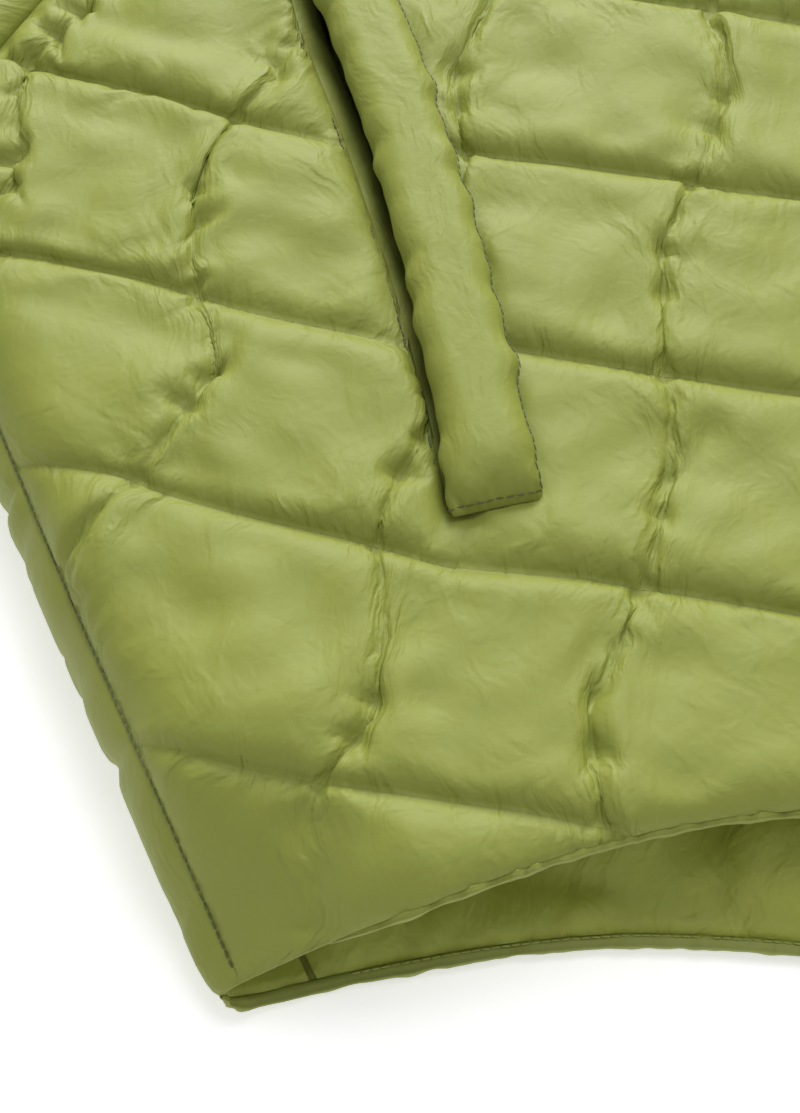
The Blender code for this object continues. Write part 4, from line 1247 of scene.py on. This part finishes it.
def add_hem_bands():
    """The gathered bands of the back hem and of both front hems."""
    path, normal, down = hem_path(-1)
    path, normal, down = (part[:BACK_BAND_END] for part in (path, normal, down))
    whole = [np.concatenate((mirrored(part)[:0:-1], part)) for part in (path, normal, down)]
    stitch = add_band("hem_band_back_sewn", *whole, "hem_band_back", "torso", BACK_BAND, FINISH["band"], 501)
    inside_stitch = whole[0] + whole[2] * 0.0009 - whole[1] * 0.0017
    level = slice(30, -30)
    STITCHES.append(("torso", "topstitch", inside_stitch[level]))
    STITCHES.append(("torso", "seam", stitch[level]))
    path, normal, down = (part[:FRONT_BAND_END] for part in hem_path(1))
    path = path - normal * 0.0013 - down * 0.0008
    for side_name, seed in (("right", 511), ("left", 521)):
        lines = (path, normal, down)
        if side_name == "left":
            lines = tuple(mirrored(line) for line in lines)
        add_band(f"hem_band_{side_name}_sewn", *lines, "hem_band_" + side_name, "torso", FRONT_BAND,
                 FINISH["shell"], seed)


def add_cuffs():
    """The gathered band round each cuff."""
    direction = np.array((-math.cos(SLEEVE_DROP), -math.sin(SLEEVE_DROP), 0.0))
    for side_name in ("right", "left"):
        ring, normal = sleeve_ring(1.0, CUFF_STATIONS, SEAM_DEPTH)
        ring = ring + direction * 0.0003
        down = np.tile(direction, (len(ring), 1))
        if side_name == "left":
            ring, normal, down = mirrored(ring), mirrored(normal), mirrored(down)
        body = "sleeve_" + side_name
        stitch = add_band(f"cuff_band_{side_name}_sewn", ring, normal, down, "cuff_band_" + side_name,
                          body, CUFF_BAND, FINISH["band"], 531, closed=True)
        STITCHES.append((body, "seam", np.concatenate((stitch, stitch[:1]))))


# Stitches and zip teeth, set out along lines by Geometry Nodes

def node_group(name, inputs):
    tree = bpy.data.node_groups.new(name, "GeometryNodeTree")
    tree.interface.new_socket("Line", in_out="INPUT", socket_type="NodeSocketGeometry")
    for label, kind, value in inputs:
        socket = tree.interface.new_socket(label, in_out="INPUT", socket_type=kind)
        if value is not None:
            socket.default_value = value
    tree.interface.new_socket("Pieces", in_out="OUTPUT", socket_type="NodeSocketGeometry")
    return tree, tree.nodes.new("NodeGroupInput"), tree.nodes.new("NodeGroupOutput")


def add_along(name, lines, unit_mesh, spacing, finish, body, seed, tilt=0.0):
    """Copies of a small mesh set out evenly along lines, as one plain mesh."""
    points, edges = [], []
    for line in lines:
        start = len(points)
        points += [(x, y + SHIFT, z) for x, y, z in slump(line)]
        edges += [(k, k + 1) for k in range(start, len(points) - 1)]
    path = bpy.data.meshes.new(name + "_path")
    path.from_pydata(points, edges, [])
    holder = bpy.data.objects.new(name + "_holder", path)
    single = bpy.data.objects.new(name + "_single", unit_mesh)
    for obj in (holder, single):
        bpy.context.scene.collection.objects.link(obj)
    inputs = (("Spacing", "NodeSocketFloat", spacing), ("Unit", "NodeSocketObject", None),
              ("Finish", "NodeSocketMaterial", None), ("Uneven", "NodeSocketFloat", tilt),
              ("Seed", "NodeSocketInt", seed))
    tree, given, result = node_group(name, inputs)
    node, link = tree.nodes.new, tree.links.new
    curve = node("GeometryNodeMeshToCurve")
    spaced = node("GeometryNodeResampleCurve")
    spaced.mode = "LENGTH"
    tangent = node("GeometryNodeInputTangent")
    align = node("FunctionNodeAlignRotationToVector")
    align.axis = "X"
    info = node("GeometryNodeObjectInfo")
    turn = node("FunctionNodeRandomValue")
    turn.data_type = "FLOAT_VECTOR"
    rotate = node("FunctionNodeRotateRotation")
    to_rotation = node("FunctionNodeEulerToRotation")
    low = node("ShaderNodeVectorMath")
    low.operation = "SCALE"
    low.inputs[0].default_value = (-1.0, -1.0, -1.0)
    high = node("ShaderNodeVectorMath")
    high.operation = "SCALE"
    high.inputs[0].default_value = (1.0, 1.0, 1.0)
    place = node("GeometryNodeInstanceOnPoints")
    real = node("GeometryNodeRealizeInstances")
    paint = node("GeometryNodeSetMaterial")
    link(given.outputs["Line"], curve.inputs[0])
    link(curve.outputs[0], spaced.inputs[0])
    link(given.outputs["Spacing"], spaced.inputs["Length"])
    link(tangent.outputs[0], align.inputs["Vector"])
    link(given.outputs["Unit"], info.inputs[0])
    link(given.outputs["Uneven"], low.inputs["Scale"])
    link(given.outputs["Uneven"], high.inputs["Scale"])
    link(low.outputs[0], turn.inputs[0])
    link(high.outputs[0], turn.inputs[1])
    link(given.outputs["Seed"], turn.inputs["Seed"])
    link(turn.outputs[0], to_rotation.inputs[0])
    link(align.outputs[0], rotate.inputs[0])
    link(to_rotation.outputs[0], rotate.inputs[1])
    link(spaced.outputs[0], place.inputs["Points"])
    link(info.outputs["Geometry"], place.inputs["Instance"])
    link(rotate.outputs[0], place.inputs["Rotation"])
    link(place.outputs[0], real.inputs[0])
    link(real.outputs[0], paint.inputs[0])
    link(given.outputs["Finish"], paint.inputs["Material"])
    link(paint.outputs[0], result.inputs[0])
    modifier = holder.modifiers.new("along", "NODES")
    modifier.node_group = tree
    values = {"Spacing": spacing, "Unit": single, "Finish": finish, "Uneven": tilt, "Seed": seed}
    for item in tree.interface.items_tree:
        if item.in_out == "INPUT" and item.name in values:
            modifier[item.identifier] = values[item.name]
    bpy.context.view_layer.update()
    graph = bpy.context.evaluated_depsgraph_get()
    mesh = bpy.data.meshes.new_from_object(holder.evaluated_get(graph))
    mesh.name = name
    holder.modifiers.remove(modifier)
    if not mesh.materials:
        mesh.materials.append(finish)
    piece = bpy.data.objects.new(name, mesh)
    bpy.context.scene.collection.objects.link(piece)
    bpy.data.objects.remove(holder)
    bpy.data.objects.remove(single)
    bpy.data.meshes.remove(path)
    if body:
        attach(piece, body)
    return piece


def lofted_mesh(name, rings):
    """Plain mesh of a closed tube through rings."""
    points, faces = loft(rings)
    mesh = bpy.data.meshes.new(name)
    mesh.from_pydata(points.tolist(), [], [list(map(int, f)) for f in outward(points, faces)])
    return mesh


def thread_mesh(length, width):
    """One sunk stitch: a short thread with tapered ends, lying along X."""
    stops = ((-0.5, 0.35, -0.55), (-0.38, 0.85, -0.1), (-0.15, 1.0, 0.12),
             (0.15, 1.0, 0.12), (0.38, 0.85, -0.1), (0.5, 0.35, -0.55))
    rings = []
    for x, size, sink in stops:
        angle = np.arange(6) * np.pi / 3
        rings.append(np.column_stack((np.full(6, x * length), np.cos(angle) * size * width / 2,
                                      np.sin(angle) * size * width * 0.4 + sink * width * 0.5)))
    mesh = lofted_mesh("thread", rings)
    mesh.polygons.foreach_set("use_smooth", np.ones(len(mesh.polygons), bool))
    return mesh


def tooth_mesh(side):
    """One moulded zip tooth: a rounded head on a waisted leg, its length along Y."""
    outline = ((0.0, 0.55), (0.9, 0.50), (1.35, 0.42), (1.75, 0.62), (2.2, 0.66), (2.55, 0.42), (2.62, 0.0))
    half = [(x * 0.001, y * 0.001) for x, y in outline]
    ring = half + [(x, -y) for x, y in reversed(half[:-1])]
    rings = []
    middle = 0.0013
    for z, grow in ((-1.15, 0.80), (-0.95, 1.0), (0.95, 1.0), (1.15, 0.80)):
        rings.append(np.array([(y * grow, side * (x - middle) * grow, z * 0.001) for x, y in ring]))
    return lofted_mesh("tooth", rings)


def add_teeth():
    """The zip's two rows of teeth."""
    for side_name in ("right", "left"):
        low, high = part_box("zip_coil_" + side_name)
        x, z = (low.x + high.x) / 2, (low.z + high.z) / 2
        sign = 1 if side_name == "right" else -1
        line = np.array(((x, low.y + 0.001 - SHIFT, z), (x, high.y - 0.001 - SHIFT, z)))
        if side_name == "left":
            line[:, 1] += 0.001
        piece = add_along("zip_teeth_" + side_name, [line], tooth_mesh(-sign), TOOTH_SPACING,
                          FINISH["teeth"], "torso", 7)
        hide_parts("zip_coil_" + side_name)


def add_stitches():
    """Every seam and topstitch line, one piece for each kind and body."""
    side = side_point(SIDE_STOPS) + side_inward(SIDE_STOPS) * RADIUS * (1 - math.cos(SEAM_ANGLE))
    base, normal = tube_surface(side, SEAM_DEPTH)
    seam = base + normal * 0.0003
    STITCHES.extend((("torso", "seam", seam[2:]), ("torso", "seam", mirrored(seam[2:]))))
    for kind, width in STITCH_WIDTHS.items():
        for body in sorted({entry[0] for entry in STITCHES if entry[1] == kind}):
            lines = [line for where, what, line in STITCHES if where == body and what == kind]
            thread = thread_mesh(STITCH_LENGTH, width)
            on_welt = body.startswith("pocket_welt")
            piece = add_along(f"{kind}_{body}", lines, thread, STITCH_SPACING, FINISH[kind],
                              None if on_welt else body, 61, tilt=0.10)
            if on_welt:
                hinge_welt(piece, body.rsplit("_", 1)[1])


# Materials

class Value:
    """A shader socket that takes part in arithmetic."""

    def __init__(self, graph, socket):
        self.graph = graph
        self.socket = socket

    def apply(self, operation, *others):
        node = self.graph.node("ShaderNodeMath", {"operation": operation},
                               {k: other for k, other in enumerate((self, *others))})
        return Value(self.graph, node.outputs[0])

    def swapped(self, operation, other):
        node = self.graph.node("ShaderNodeMath", {"operation": operation}, {0: other, 1: self})
        return Value(self.graph, node.outputs[0])

    def __add__(self, other):
        return self.apply("ADD", other)

    def __sub__(self, other):
        return self.apply("SUBTRACT", other)

    def __mul__(self, other):
        return self.apply("MULTIPLY", other)

    def __truediv__(self, other):
        return self.apply("DIVIDE", other)

    def __pow__(self, other):
        return self.apply("POWER", other)

    def __radd__(self, other):
        return self.swapped("ADD", other)

    def __rsub__(self, other):
        return self.swapped("SUBTRACT", other)

    def __rmul__(self, other):
        return self.swapped("MULTIPLY", other)


class Finish:
    """One material and the nodes that make its look."""

    def __init__(self, name):
        self.material = bpy.data.materials.new(name)
        self.material.use_nodes = True
        self.tree = self.material.node_tree
        self.shader = self.tree.nodes["Principled BSDF"]

    def node(self, kind, settings=None, values=None):
        made = self.tree.nodes.new(kind)
        for key, value in (settings or {}).items():
            setattr(made, key, value)
        for key, value in (values or {}).items():
            self.feed(made.inputs[key], value)
        return made

    def feed(self, socket, value):
        if isinstance(value, Value):
            self.tree.links.new(value.socket, socket)
        elif isinstance(value, bpy.types.NodeSocket):
            self.tree.links.new(value, socket)
        else:
            socket.default_value = value

    def noise(self, place, scale, detail=2.0, rough=0.5, distortion=0.0):
        made = self.node("ShaderNodeTexNoise", None, {"Vector": place, "Scale": scale, "Detail": detail,
                                                      "Roughness": rough, "Distortion": distortion})
        return Value(self, made.outputs[0])

    def blend(self, share, first, second):
        made = self.node("ShaderNodeMix", {"data_type": "RGBA"}, {0: share})
        self.feed(made.inputs[6], first)
        self.feed(made.inputs[7], second)
        return made.outputs[2]

    def fix(self, **values):
        for key, value in values.items():
            self.shader.inputs[key.replace("_", " ")].default_value = value

    def bump(self, height, distance, strength=1.0):
        inputs = {"Height": height, "Distance": distance, "Strength": strength}
        made = self.node("ShaderNodeBump", None, inputs)
        self.feed(self.shader.inputs["Normal"], made.outputs[0])


def rgb(colour, gain=1.0):
    return (colour[0] * gain, colour[1] * gain, colour[2] * gain, 1.0)


def cloth_finish(name, colour, weave=0.00042, gloss=0.58, mottle=0.07, fold=1.0, quilted=False):
    """Down-proof taffeta: plain weave, crisp small creases gathered at the quilting, faint mottling."""
    finish = Finish(name)
    where = finish.node("ShaderNodeTexCoord")
    place = where.outputs["Object"]
    cut = finish.node("ShaderNodeSeparateXYZ", None, {0: where.outputs["UV"]})
    across = Value(finish, cut.outputs[0])
    along = Value(finish, cut.outputs[1])
    wave = 2 * math.pi / weave
    threads = (across * wave).apply("SINE") * (along * wave).apply("SINE")
    broad = finish.noise(place, 16.0, 3.0, 0.55)
    clumps = finish.noise(place, 85.0, 3.0, 0.6)
    slub = finish.noise(place, 900.0, 2.0, 0.6)
    share = broad * 0.45 + clumps * 0.35 + slub * 0.20
    tone = finish.blend(share, rgb(colour, 1 - mottle), rgb(colour, 1 + mottle))
    finish.feed(finish.shader.inputs["Base Color"], tone)
    finish.feed(finish.shader.inputs["Roughness"], gloss - 0.05 + clumps * 0.10)

    def creases(turn, fine, long, scatter):
        """Narrow folds lying about along one direction of the cloth."""
        drift = (broad - 0.5) * 0.045 + (clumps - 0.5) * 0.006
        u = across * math.cos(turn) + along * math.sin(turn) + drift
        v = along * math.cos(turn) - across * math.sin(turn)
        joined = finish.node("ShaderNodeCombineXYZ", None, {0: u * fine, 1: v * long, 2: scatter})
        raw = finish.noise(joined.outputs[0], 1.0, 2.0, 0.5)
        return raw * raw * 2.0

    gathered = 0.30
    if quilted:
        row = ((along - FIRST_ROW) * (1 / PITCH) + 40.5).apply("FRACT") - 0.5
        column = ((across.apply("ABSOLUTE") - EDGE_X) * (1 / PITCH) + 40.5).apply("FRACT") - 0.5
        by_row = (row * row * -70.0).apply("EXPONENT")
        by_column = (column * column * -60.0).apply("EXPONENT")
        gathered = by_row.apply("MAXIMUM", by_column) * 0.85 + 0.22
    patches = finish.noise(place, 30.0, 1.0, 0.5)
    lie = (patches - 0.42).apply("MAXIMUM", 0.0) * 4.0
    upright = creases(0.10, 210.0, 38.0, 0.0) * gathered
    leaning = creases(0.85, 130.0, 26.0, 3.0) * lie
    crossing = creases(-0.75, 150.0, 30.0, 7.0) * (gathered * 0.5 + lie * 0.4)
    fine = finish.noise(place, 420.0, 3.0, 0.6, 0.6)
    soft = finish.noise(place, 120.0, 3.0, 0.55, 0.8)
    height = (upright * 0.00100 + leaning * 0.00048 + crossing * 0.00052 + soft * 0.00020) * fold
    finish.bump(height + fine * 0.00006 + threads * 0.000008, 1.0)
    finish.fix(Sheen_Weight=0.05, Sheen_Roughness=0.4, IOR=1.42)
    finish.shader.inputs["Sheen Tint"].default_value = rgb(colour, 1.5)
    return finish.material


def thread_finish(name, colour):
    finish = Finish(name)
    place = finish.node("ShaderNodeTexCoord").outputs["Object"]
    twist = finish.noise(place, 2600.0, 2.0, 0.5)
    finish.feed(finish.shader.inputs["Base Color"], finish.blend(twist, rgb(colour, 0.8), rgb(colour, 1.2)))
    finish.feed(finish.shader.inputs["Roughness"], 0.5 + twist * 0.2)
    finish.bump(twist, 0.00008)
    finish.fix(Sheen_Weight=0.2)
    return finish.material


def tape_finish(name, colour):
    """Woven tape: herringbone ribs running along it."""
    finish = Finish(name)
    place = finish.node("ShaderNodeTexCoord").outputs["Object"]
    part = finish.node("ShaderNodeSeparateXYZ", None, {0: place})
    x = Value(finish, part.outputs[0])
    y = Value(finish, part.outputs[1])
    rib = ((x * (2 * math.pi / 0.0011)).apply("SINE") * 0.0004 + y) * (2 * math.pi / 0.0007)
    ribs = rib.apply("SINE")
    fuzz = finish.noise(place, 1400.0, 2.0, 0.6)
    share = ribs * 0.3 + fuzz * 0.7
    finish.feed(finish.shader.inputs["Base Color"], finish.blend(share, rgb(colour, 0.8), rgb(colour, 1.2)))
    finish.feed(finish.shader.inputs["Roughness"], 0.7 + fuzz * 0.15)
    finish.bump(ribs + fuzz, 0.0001)
    finish.fix(Sheen_Weight=0.3)
    return finish.material


def metal_finish(name, colour):
    """Painted zip metal: satin, a little worn."""
    finish = Finish(name)
    place = finish.node("ShaderNodeTexCoord").outputs["Object"]
    haze = finish.noise(place, 320.0, 3.0, 0.6)
    grit = finish.noise(place, 2200.0, 2.0, 0.6)
    finish.feed(finish.shader.inputs["Base Color"], finish.blend(haze, rgb(colour, 0.85), rgb(colour, 1.15)))
    finish.feed(finish.shader.inputs["Roughness"], 0.26 + haze * 0.14)
    finish.bump(grit * 0.4 + haze, 0.00003)
    finish.fix(Metallic=1.0)
    return finish.material


def teeth_finish(name, colour):
    finish = Finish(name)
    place = finish.node("ShaderNodeTexCoord").outputs["Object"]
    haze = finish.noise(place, 500.0, 2.0, 0.6)
    finish.feed(finish.shader.inputs["Base Color"], finish.blend(haze, rgb(colour, 0.9), rgb(colour, 1.1)))
    finish.feed(finish.shader.inputs["Roughness"], 0.3 + haze * 0.15)
    finish.bump(haze, 0.00002)
    finish.fix(IOR=1.5)
    return finish.material


def floor_finish(colour):
    finish = Finish("studio_floor")
    place = finish.node("ShaderNodeTexCoord").outputs["Object"]
    cloud = finish.noise(place, 1.5, 2.0, 0.5)
    finish.feed(finish.shader.inputs["Base Color"], finish.blend(cloud, rgb(colour, 0.995), rgb(colour, 1.0)))
    finish.fix(Roughness=0.9, Emission_Strength=0.43)
    finish.shader.inputs["Emission Color"].default_value = (1.0, 1.0, 1.0, 1.0)
    finish.shader.inputs["Specular IOR Level"].default_value = 0.1
    return finish.material


def make_finishes(colours):
    shell = tuple(colours.shell)
    FINISH["shell"] = cloth_finish("shell_taffeta", shell)
    FINISH["quilted"] = cloth_finish("quilted_taffeta", shell, quilted=True)
    # the lining colour carries painted light: lighter than the shell's green, to offset the shade under the
    # lifted fronts
    FINISH["lining"] = cloth_finish("lining_taffeta", tuple(colours.lining), gloss=0.46, fold=1.7)
    FINISH["facing"] = cloth_finish("pocket_facing", tuple(colours.facing), gloss=0.55, fold=0.8)
    FINISH["band"] = cloth_finish("gathered_band", tuple(colours.band), gloss=0.5, fold=0.8)
    FINISH["quilting"] = thread_finish("quilting_thread", tuple(c * 0.9 for c in shell))
    FINISH["seam"] = thread_finish("seam_thread", tuple(colours.thread))
    FINISH["topstitch"] = thread_finish("topstitch_thread", tuple(c * 1.25 for c in shell))
    FINISH["tape"] = tape_finish("zip_tape_weave", tuple(colours.tape))
    FINISH["label"] = tape_finish("label_weave", (0.70, 0.69, 0.62))
    FINISH["loop"] = tape_finish("loop_weave", tuple(colours.tape))
    FINISH["metal"] = metal_finish("zip_metal_satin", tuple(colours.metal))
    FINISH["teeth"] = teeth_finish("zip_teeth_polymer", tuple(colours.teeth))


def repaint():
    kept = {"zip_tape_right": "tape", "zip_tape_left": "tape", "hanger_loop": "loop", "neck_label": "label"}
    metal = ("zip_slider", "zip_pull", "zip_retaining_box", "zip_insertion_pin", "zip_top_stop_right",
             "zip_top_stop_left")
    kept.update({name: "metal" for name in metal})
    for name, finish in kept.items():
        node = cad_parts[name]
        if node.data.materials:
            node.data.materials[0] = FINISH[finish]
        else:
            node.data.materials.append(FINISH[finish])


# Stage

AIM = Vector((-0.2171, 0.125 + SHIFT, 0.047))
VIEW_WAY = Vector((0.0836, -0.451, 0.889))
VIEW_DISTANCE = 0.464


def add_light(name, place, size, energy, aim, colour=(1.0, 1.0, 1.0)):
    """One square lamp that faces a point."""
    lamp = bpy.data.lights.new(name, "AREA")
    lamp.size = size
    lamp.energy = energy
    lamp.color = colour
    obj = bpy.data.objects.new(name, lamp)
    obj.location = place
    obj.rotation_euler = (aim - place).to_track_quat("-Z", "Y").to_euler()
    bpy.context.scene.collection.objects.link(obj)


FLOOR_HALF = 4.0
FLOOR_LEVEL = -0.0005
KEY_PLACE = AIM + Vector((-0.30, 2.65, 1.55))
TOP_PLACE = AIM + Vector((0.40, 0.80, 2.4))
LAMP_SIZE = 1.4
LENS = 60.0


def build_stage(stage):
    """Floor, light from all round, two lamps and the camera."""
    scene = bpy.context.scene
    floor = bpy.data.meshes.new("floor")
    corners = [(x * FLOOR_HALF, y * FLOOR_HALF, FLOOR_LEVEL) for x, y in ((-1, -1), (1, -1), (1, 1), (-1, 1))]
    floor.from_pydata(corners, [], [(0, 1, 2, 3)])
    floor.materials.append(floor_finish(tuple(stage.floor)))
    obj = bpy.data.objects.new("floor", floor)
    scene.collection.objects.link(obj)
    world = bpy.data.worlds.new("studio")
    scene.world = world
    world.use_nodes = True
    sky = world.node_tree.nodes["Background"]
    sky.inputs[0].default_value = (1.0, 1.0, 1.0, 1.0)
    sky.inputs[1].default_value = stage.fill
    add_light("key", KEY_PLACE, LAMP_SIZE, stage.key, AIM)
    add_light("top", TOP_PLACE, LAMP_SIZE, stage.top, AIM)
    camera = bpy.data.cameras.new("camera")
    camera.lens = LENS
    camera.clip_start = 0.01
    holder = bpy.data.objects.new("camera", camera)
    holder.location = AIM + VIEW_WAY * VIEW_DISTANCE
    holder.rotation_euler = (AIM - holder.location).to_track_quat("-Z", "Y").to_euler()
    scene.collection.objects.link(holder)
    scene.camera = holder
    scene.view_settings.view_transform = "Standard"


# What a user can change

def colour_property(label, about, default):
    return bpy.props.FloatVectorProperty(name=label, description=about, default=default, size=3,
                                         min=0.0, max=1.0, subtype="COLOR")


class JacketColours(bpy.types.PropertyGroup):
    shell: colour_property("Shell", "Satin taffeta of the outer faces", (0.218, 0.245, 0.036))
    # painted light: the lining green is set lighter than the shell's same green, to offset the shade in the
    # gap under the lifted fronts
    lining: colour_property("Lining", "Taffeta of the inner faces", (0.36, 0.395, 0.062))
    facing: colour_property("Pocket facing", "Cloth inside the hand pockets", (0.19, 0.215, 0.042))
    band: colour_property("Edge band", "Gathered bands at hem and cuffs", (0.25, 0.28, 0.055))
    thread: colour_property("Thread", "Stitching", (0.06, 0.067, 0.016))
    tape: colour_property("Zip tape", "Woven tape of the zip and the hanger loop", (0.20, 0.24, 0.05))
    metal: colour_property("Zip metal", "Slider, pull, box, pin and stops", (0.42, 0.43, 0.38))
    teeth: colour_property("Zip teeth", "Moulded teeth", (0.19, 0.23, 0.05))


class JacketStage(bpy.types.PropertyGroup):
    floor: colour_property("Floor", "Studio floor", (0.92, 0.92, 0.92))
    fill: bpy.props.FloatProperty(name="Fill", description="Light from all round", default=0.55, min=0.0)
    key: bpy.props.FloatProperty(name="Key", description="Lamp beyond the collar", default=100.0, min=0.0,
                                 unit="POWER")
    top: bpy.props.FloatProperty(name="Top", description="Lamp overhead", default=22.0, min=0.0, unit="POWER")


# Operators

class JacketOperator:
    bl_options = {"REGISTER", "UNDO"}


class JACKET_OT_finishes(JacketOperator, bpy.types.Operator):
    """Make every cloth, thread and metal finish and repaint the hard parts"""
    bl_idname = "jacket.finishes"
    bl_label = "Finishes"

    def execute(self, context):
        make_finishes(context.scene.jacket_colours)
        repaint()
        return {"FINISHED"}


class JACKET_OT_fronts(JacketOperator, bpy.types.Operator):
    """Settle both quilted front panels"""
    bl_idname = "jacket.fronts"
    bl_label = "Front panels"

    def execute(self, context):
        for side_name in ("right", "left"):
            add_front(side_name)
        return {"FINISHED"}


class JACKET_OT_back(JacketOperator, bpy.types.Operator):
    """Settle the back, its wrapped sides and its lining"""
    bl_idname = "jacket.back"
    bl_label = "Back panel"

    def execute(self, context):
        add_back()
        return {"FINISHED"}


class JACKET_OT_sleeves(JacketOperator, bpy.types.Operator):
    """Settle both quilted sleeves"""
    bl_idname = "jacket.sleeves"
    bl_label = "Sleeves"

    def execute(self, context):
        for side_name in ("right", "left"):
            add_sleeve(side_name)
        return {"FINISHED"}


class JACKET_OT_collar(JacketOperator, bpy.types.Operator):
    """Settle the stand collar"""
    bl_idname = "jacket.collar"
    bl_label = "Collar"

    def execute(self, context):
        add_collar()
        return {"FINISHED"}


class JACKET_OT_pockets(JacketOperator, bpy.types.Operator):
    """Make the padded welts and the pocket bags behind them"""
    bl_idname = "jacket.pockets"
    bl_label = "Hand pockets"

    def execute(self, context):
        for side_name in ("right", "left"):
            add_welt(side_name)
            add_pocket(side_name)
        return {"FINISHED"}


class JACKET_OT_bands(JacketOperator, bpy.types.Operator):
    """Make the gathered bands of the hem and the cuffs"""
    bl_idname = "jacket.bands"
    bl_label = "Edge bands"

    def execute(self, context):
        add_hem_bands()
        add_cuffs()
        return {"FINISHED"}


class JACKET_OT_teeth(JacketOperator, bpy.types.Operator):
    """Set out the zip's teeth on both tapes"""
    bl_idname = "jacket.teeth"
    bl_label = "Zip teeth"

    def execute(self, context):
        add_teeth()
        return {"FINISHED"}


class JACKET_OT_stitches(JacketOperator, bpy.types.Operator):
    """Sew the visible stitches along every seam"""
    bl_idname = "jacket.stitches"
    bl_label = "Stitches"

    def execute(self, context):
        add_stitches()
        return {"FINISHED"}


class JACKET_OT_stage(JacketOperator, bpy.types.Operator):
    """Floor, lamps and camera"""
    bl_idname = "jacket.stage"
    bl_label = "Stage"

    def execute(self, context):
        build_stage(context.scene.jacket_stage)
        return {"FINISHED"}


OPERATORS = (JACKET_OT_stage, JACKET_OT_finishes, JACKET_OT_fronts, JACKET_OT_back, JACKET_OT_sleeves,
             JACKET_OT_collar, JACKET_OT_pockets, JACKET_OT_bands, JACKET_OT_teeth, JACKET_OT_stitches)


class JACKET_PT_build(bpy.types.Panel):
    bl_label = "Quilted jacket"
    bl_idname = "JACKET_PT_build"
    bl_space_type = "VIEW_3D"
    bl_region_type = "UI"
    bl_category = "Jacket"

    def draw(self, context):
        for group in (context.scene.jacket_colours, context.scene.jacket_stage):
            for name in group.__annotations__:
                self.layout.prop(group, name)
        for operator in OPERATORS:
            self.layout.operator(operator.bl_idname)


CLASSES = (JacketColours, JacketStage, *OPERATORS, JACKET_PT_build)


def register():
    for item in CLASSES:
        bpy.utils.register_class(item)
    bpy.types.Scene.jacket_colours = bpy.props.PointerProperty(type=JacketColours)
    bpy.types.Scene.jacket_stage = bpy.props.PointerProperty(type=JacketStage)


def unregister():
    del bpy.types.Scene.jacket_stage
    del bpy.types.Scene.jacket_colours
    for item in reversed(CLASSES):
        bpy.utils.unregister_class(item)


def corners(box):
    return [[float(value) for value in corner] for corner in box]


def main():
    register()
    for operator in OPERATORS:
        group, name = operator.bl_idname.split(".")
        getattr(getattr(bpy.ops, group), name)()


if __name__ == "__main__":
    main()
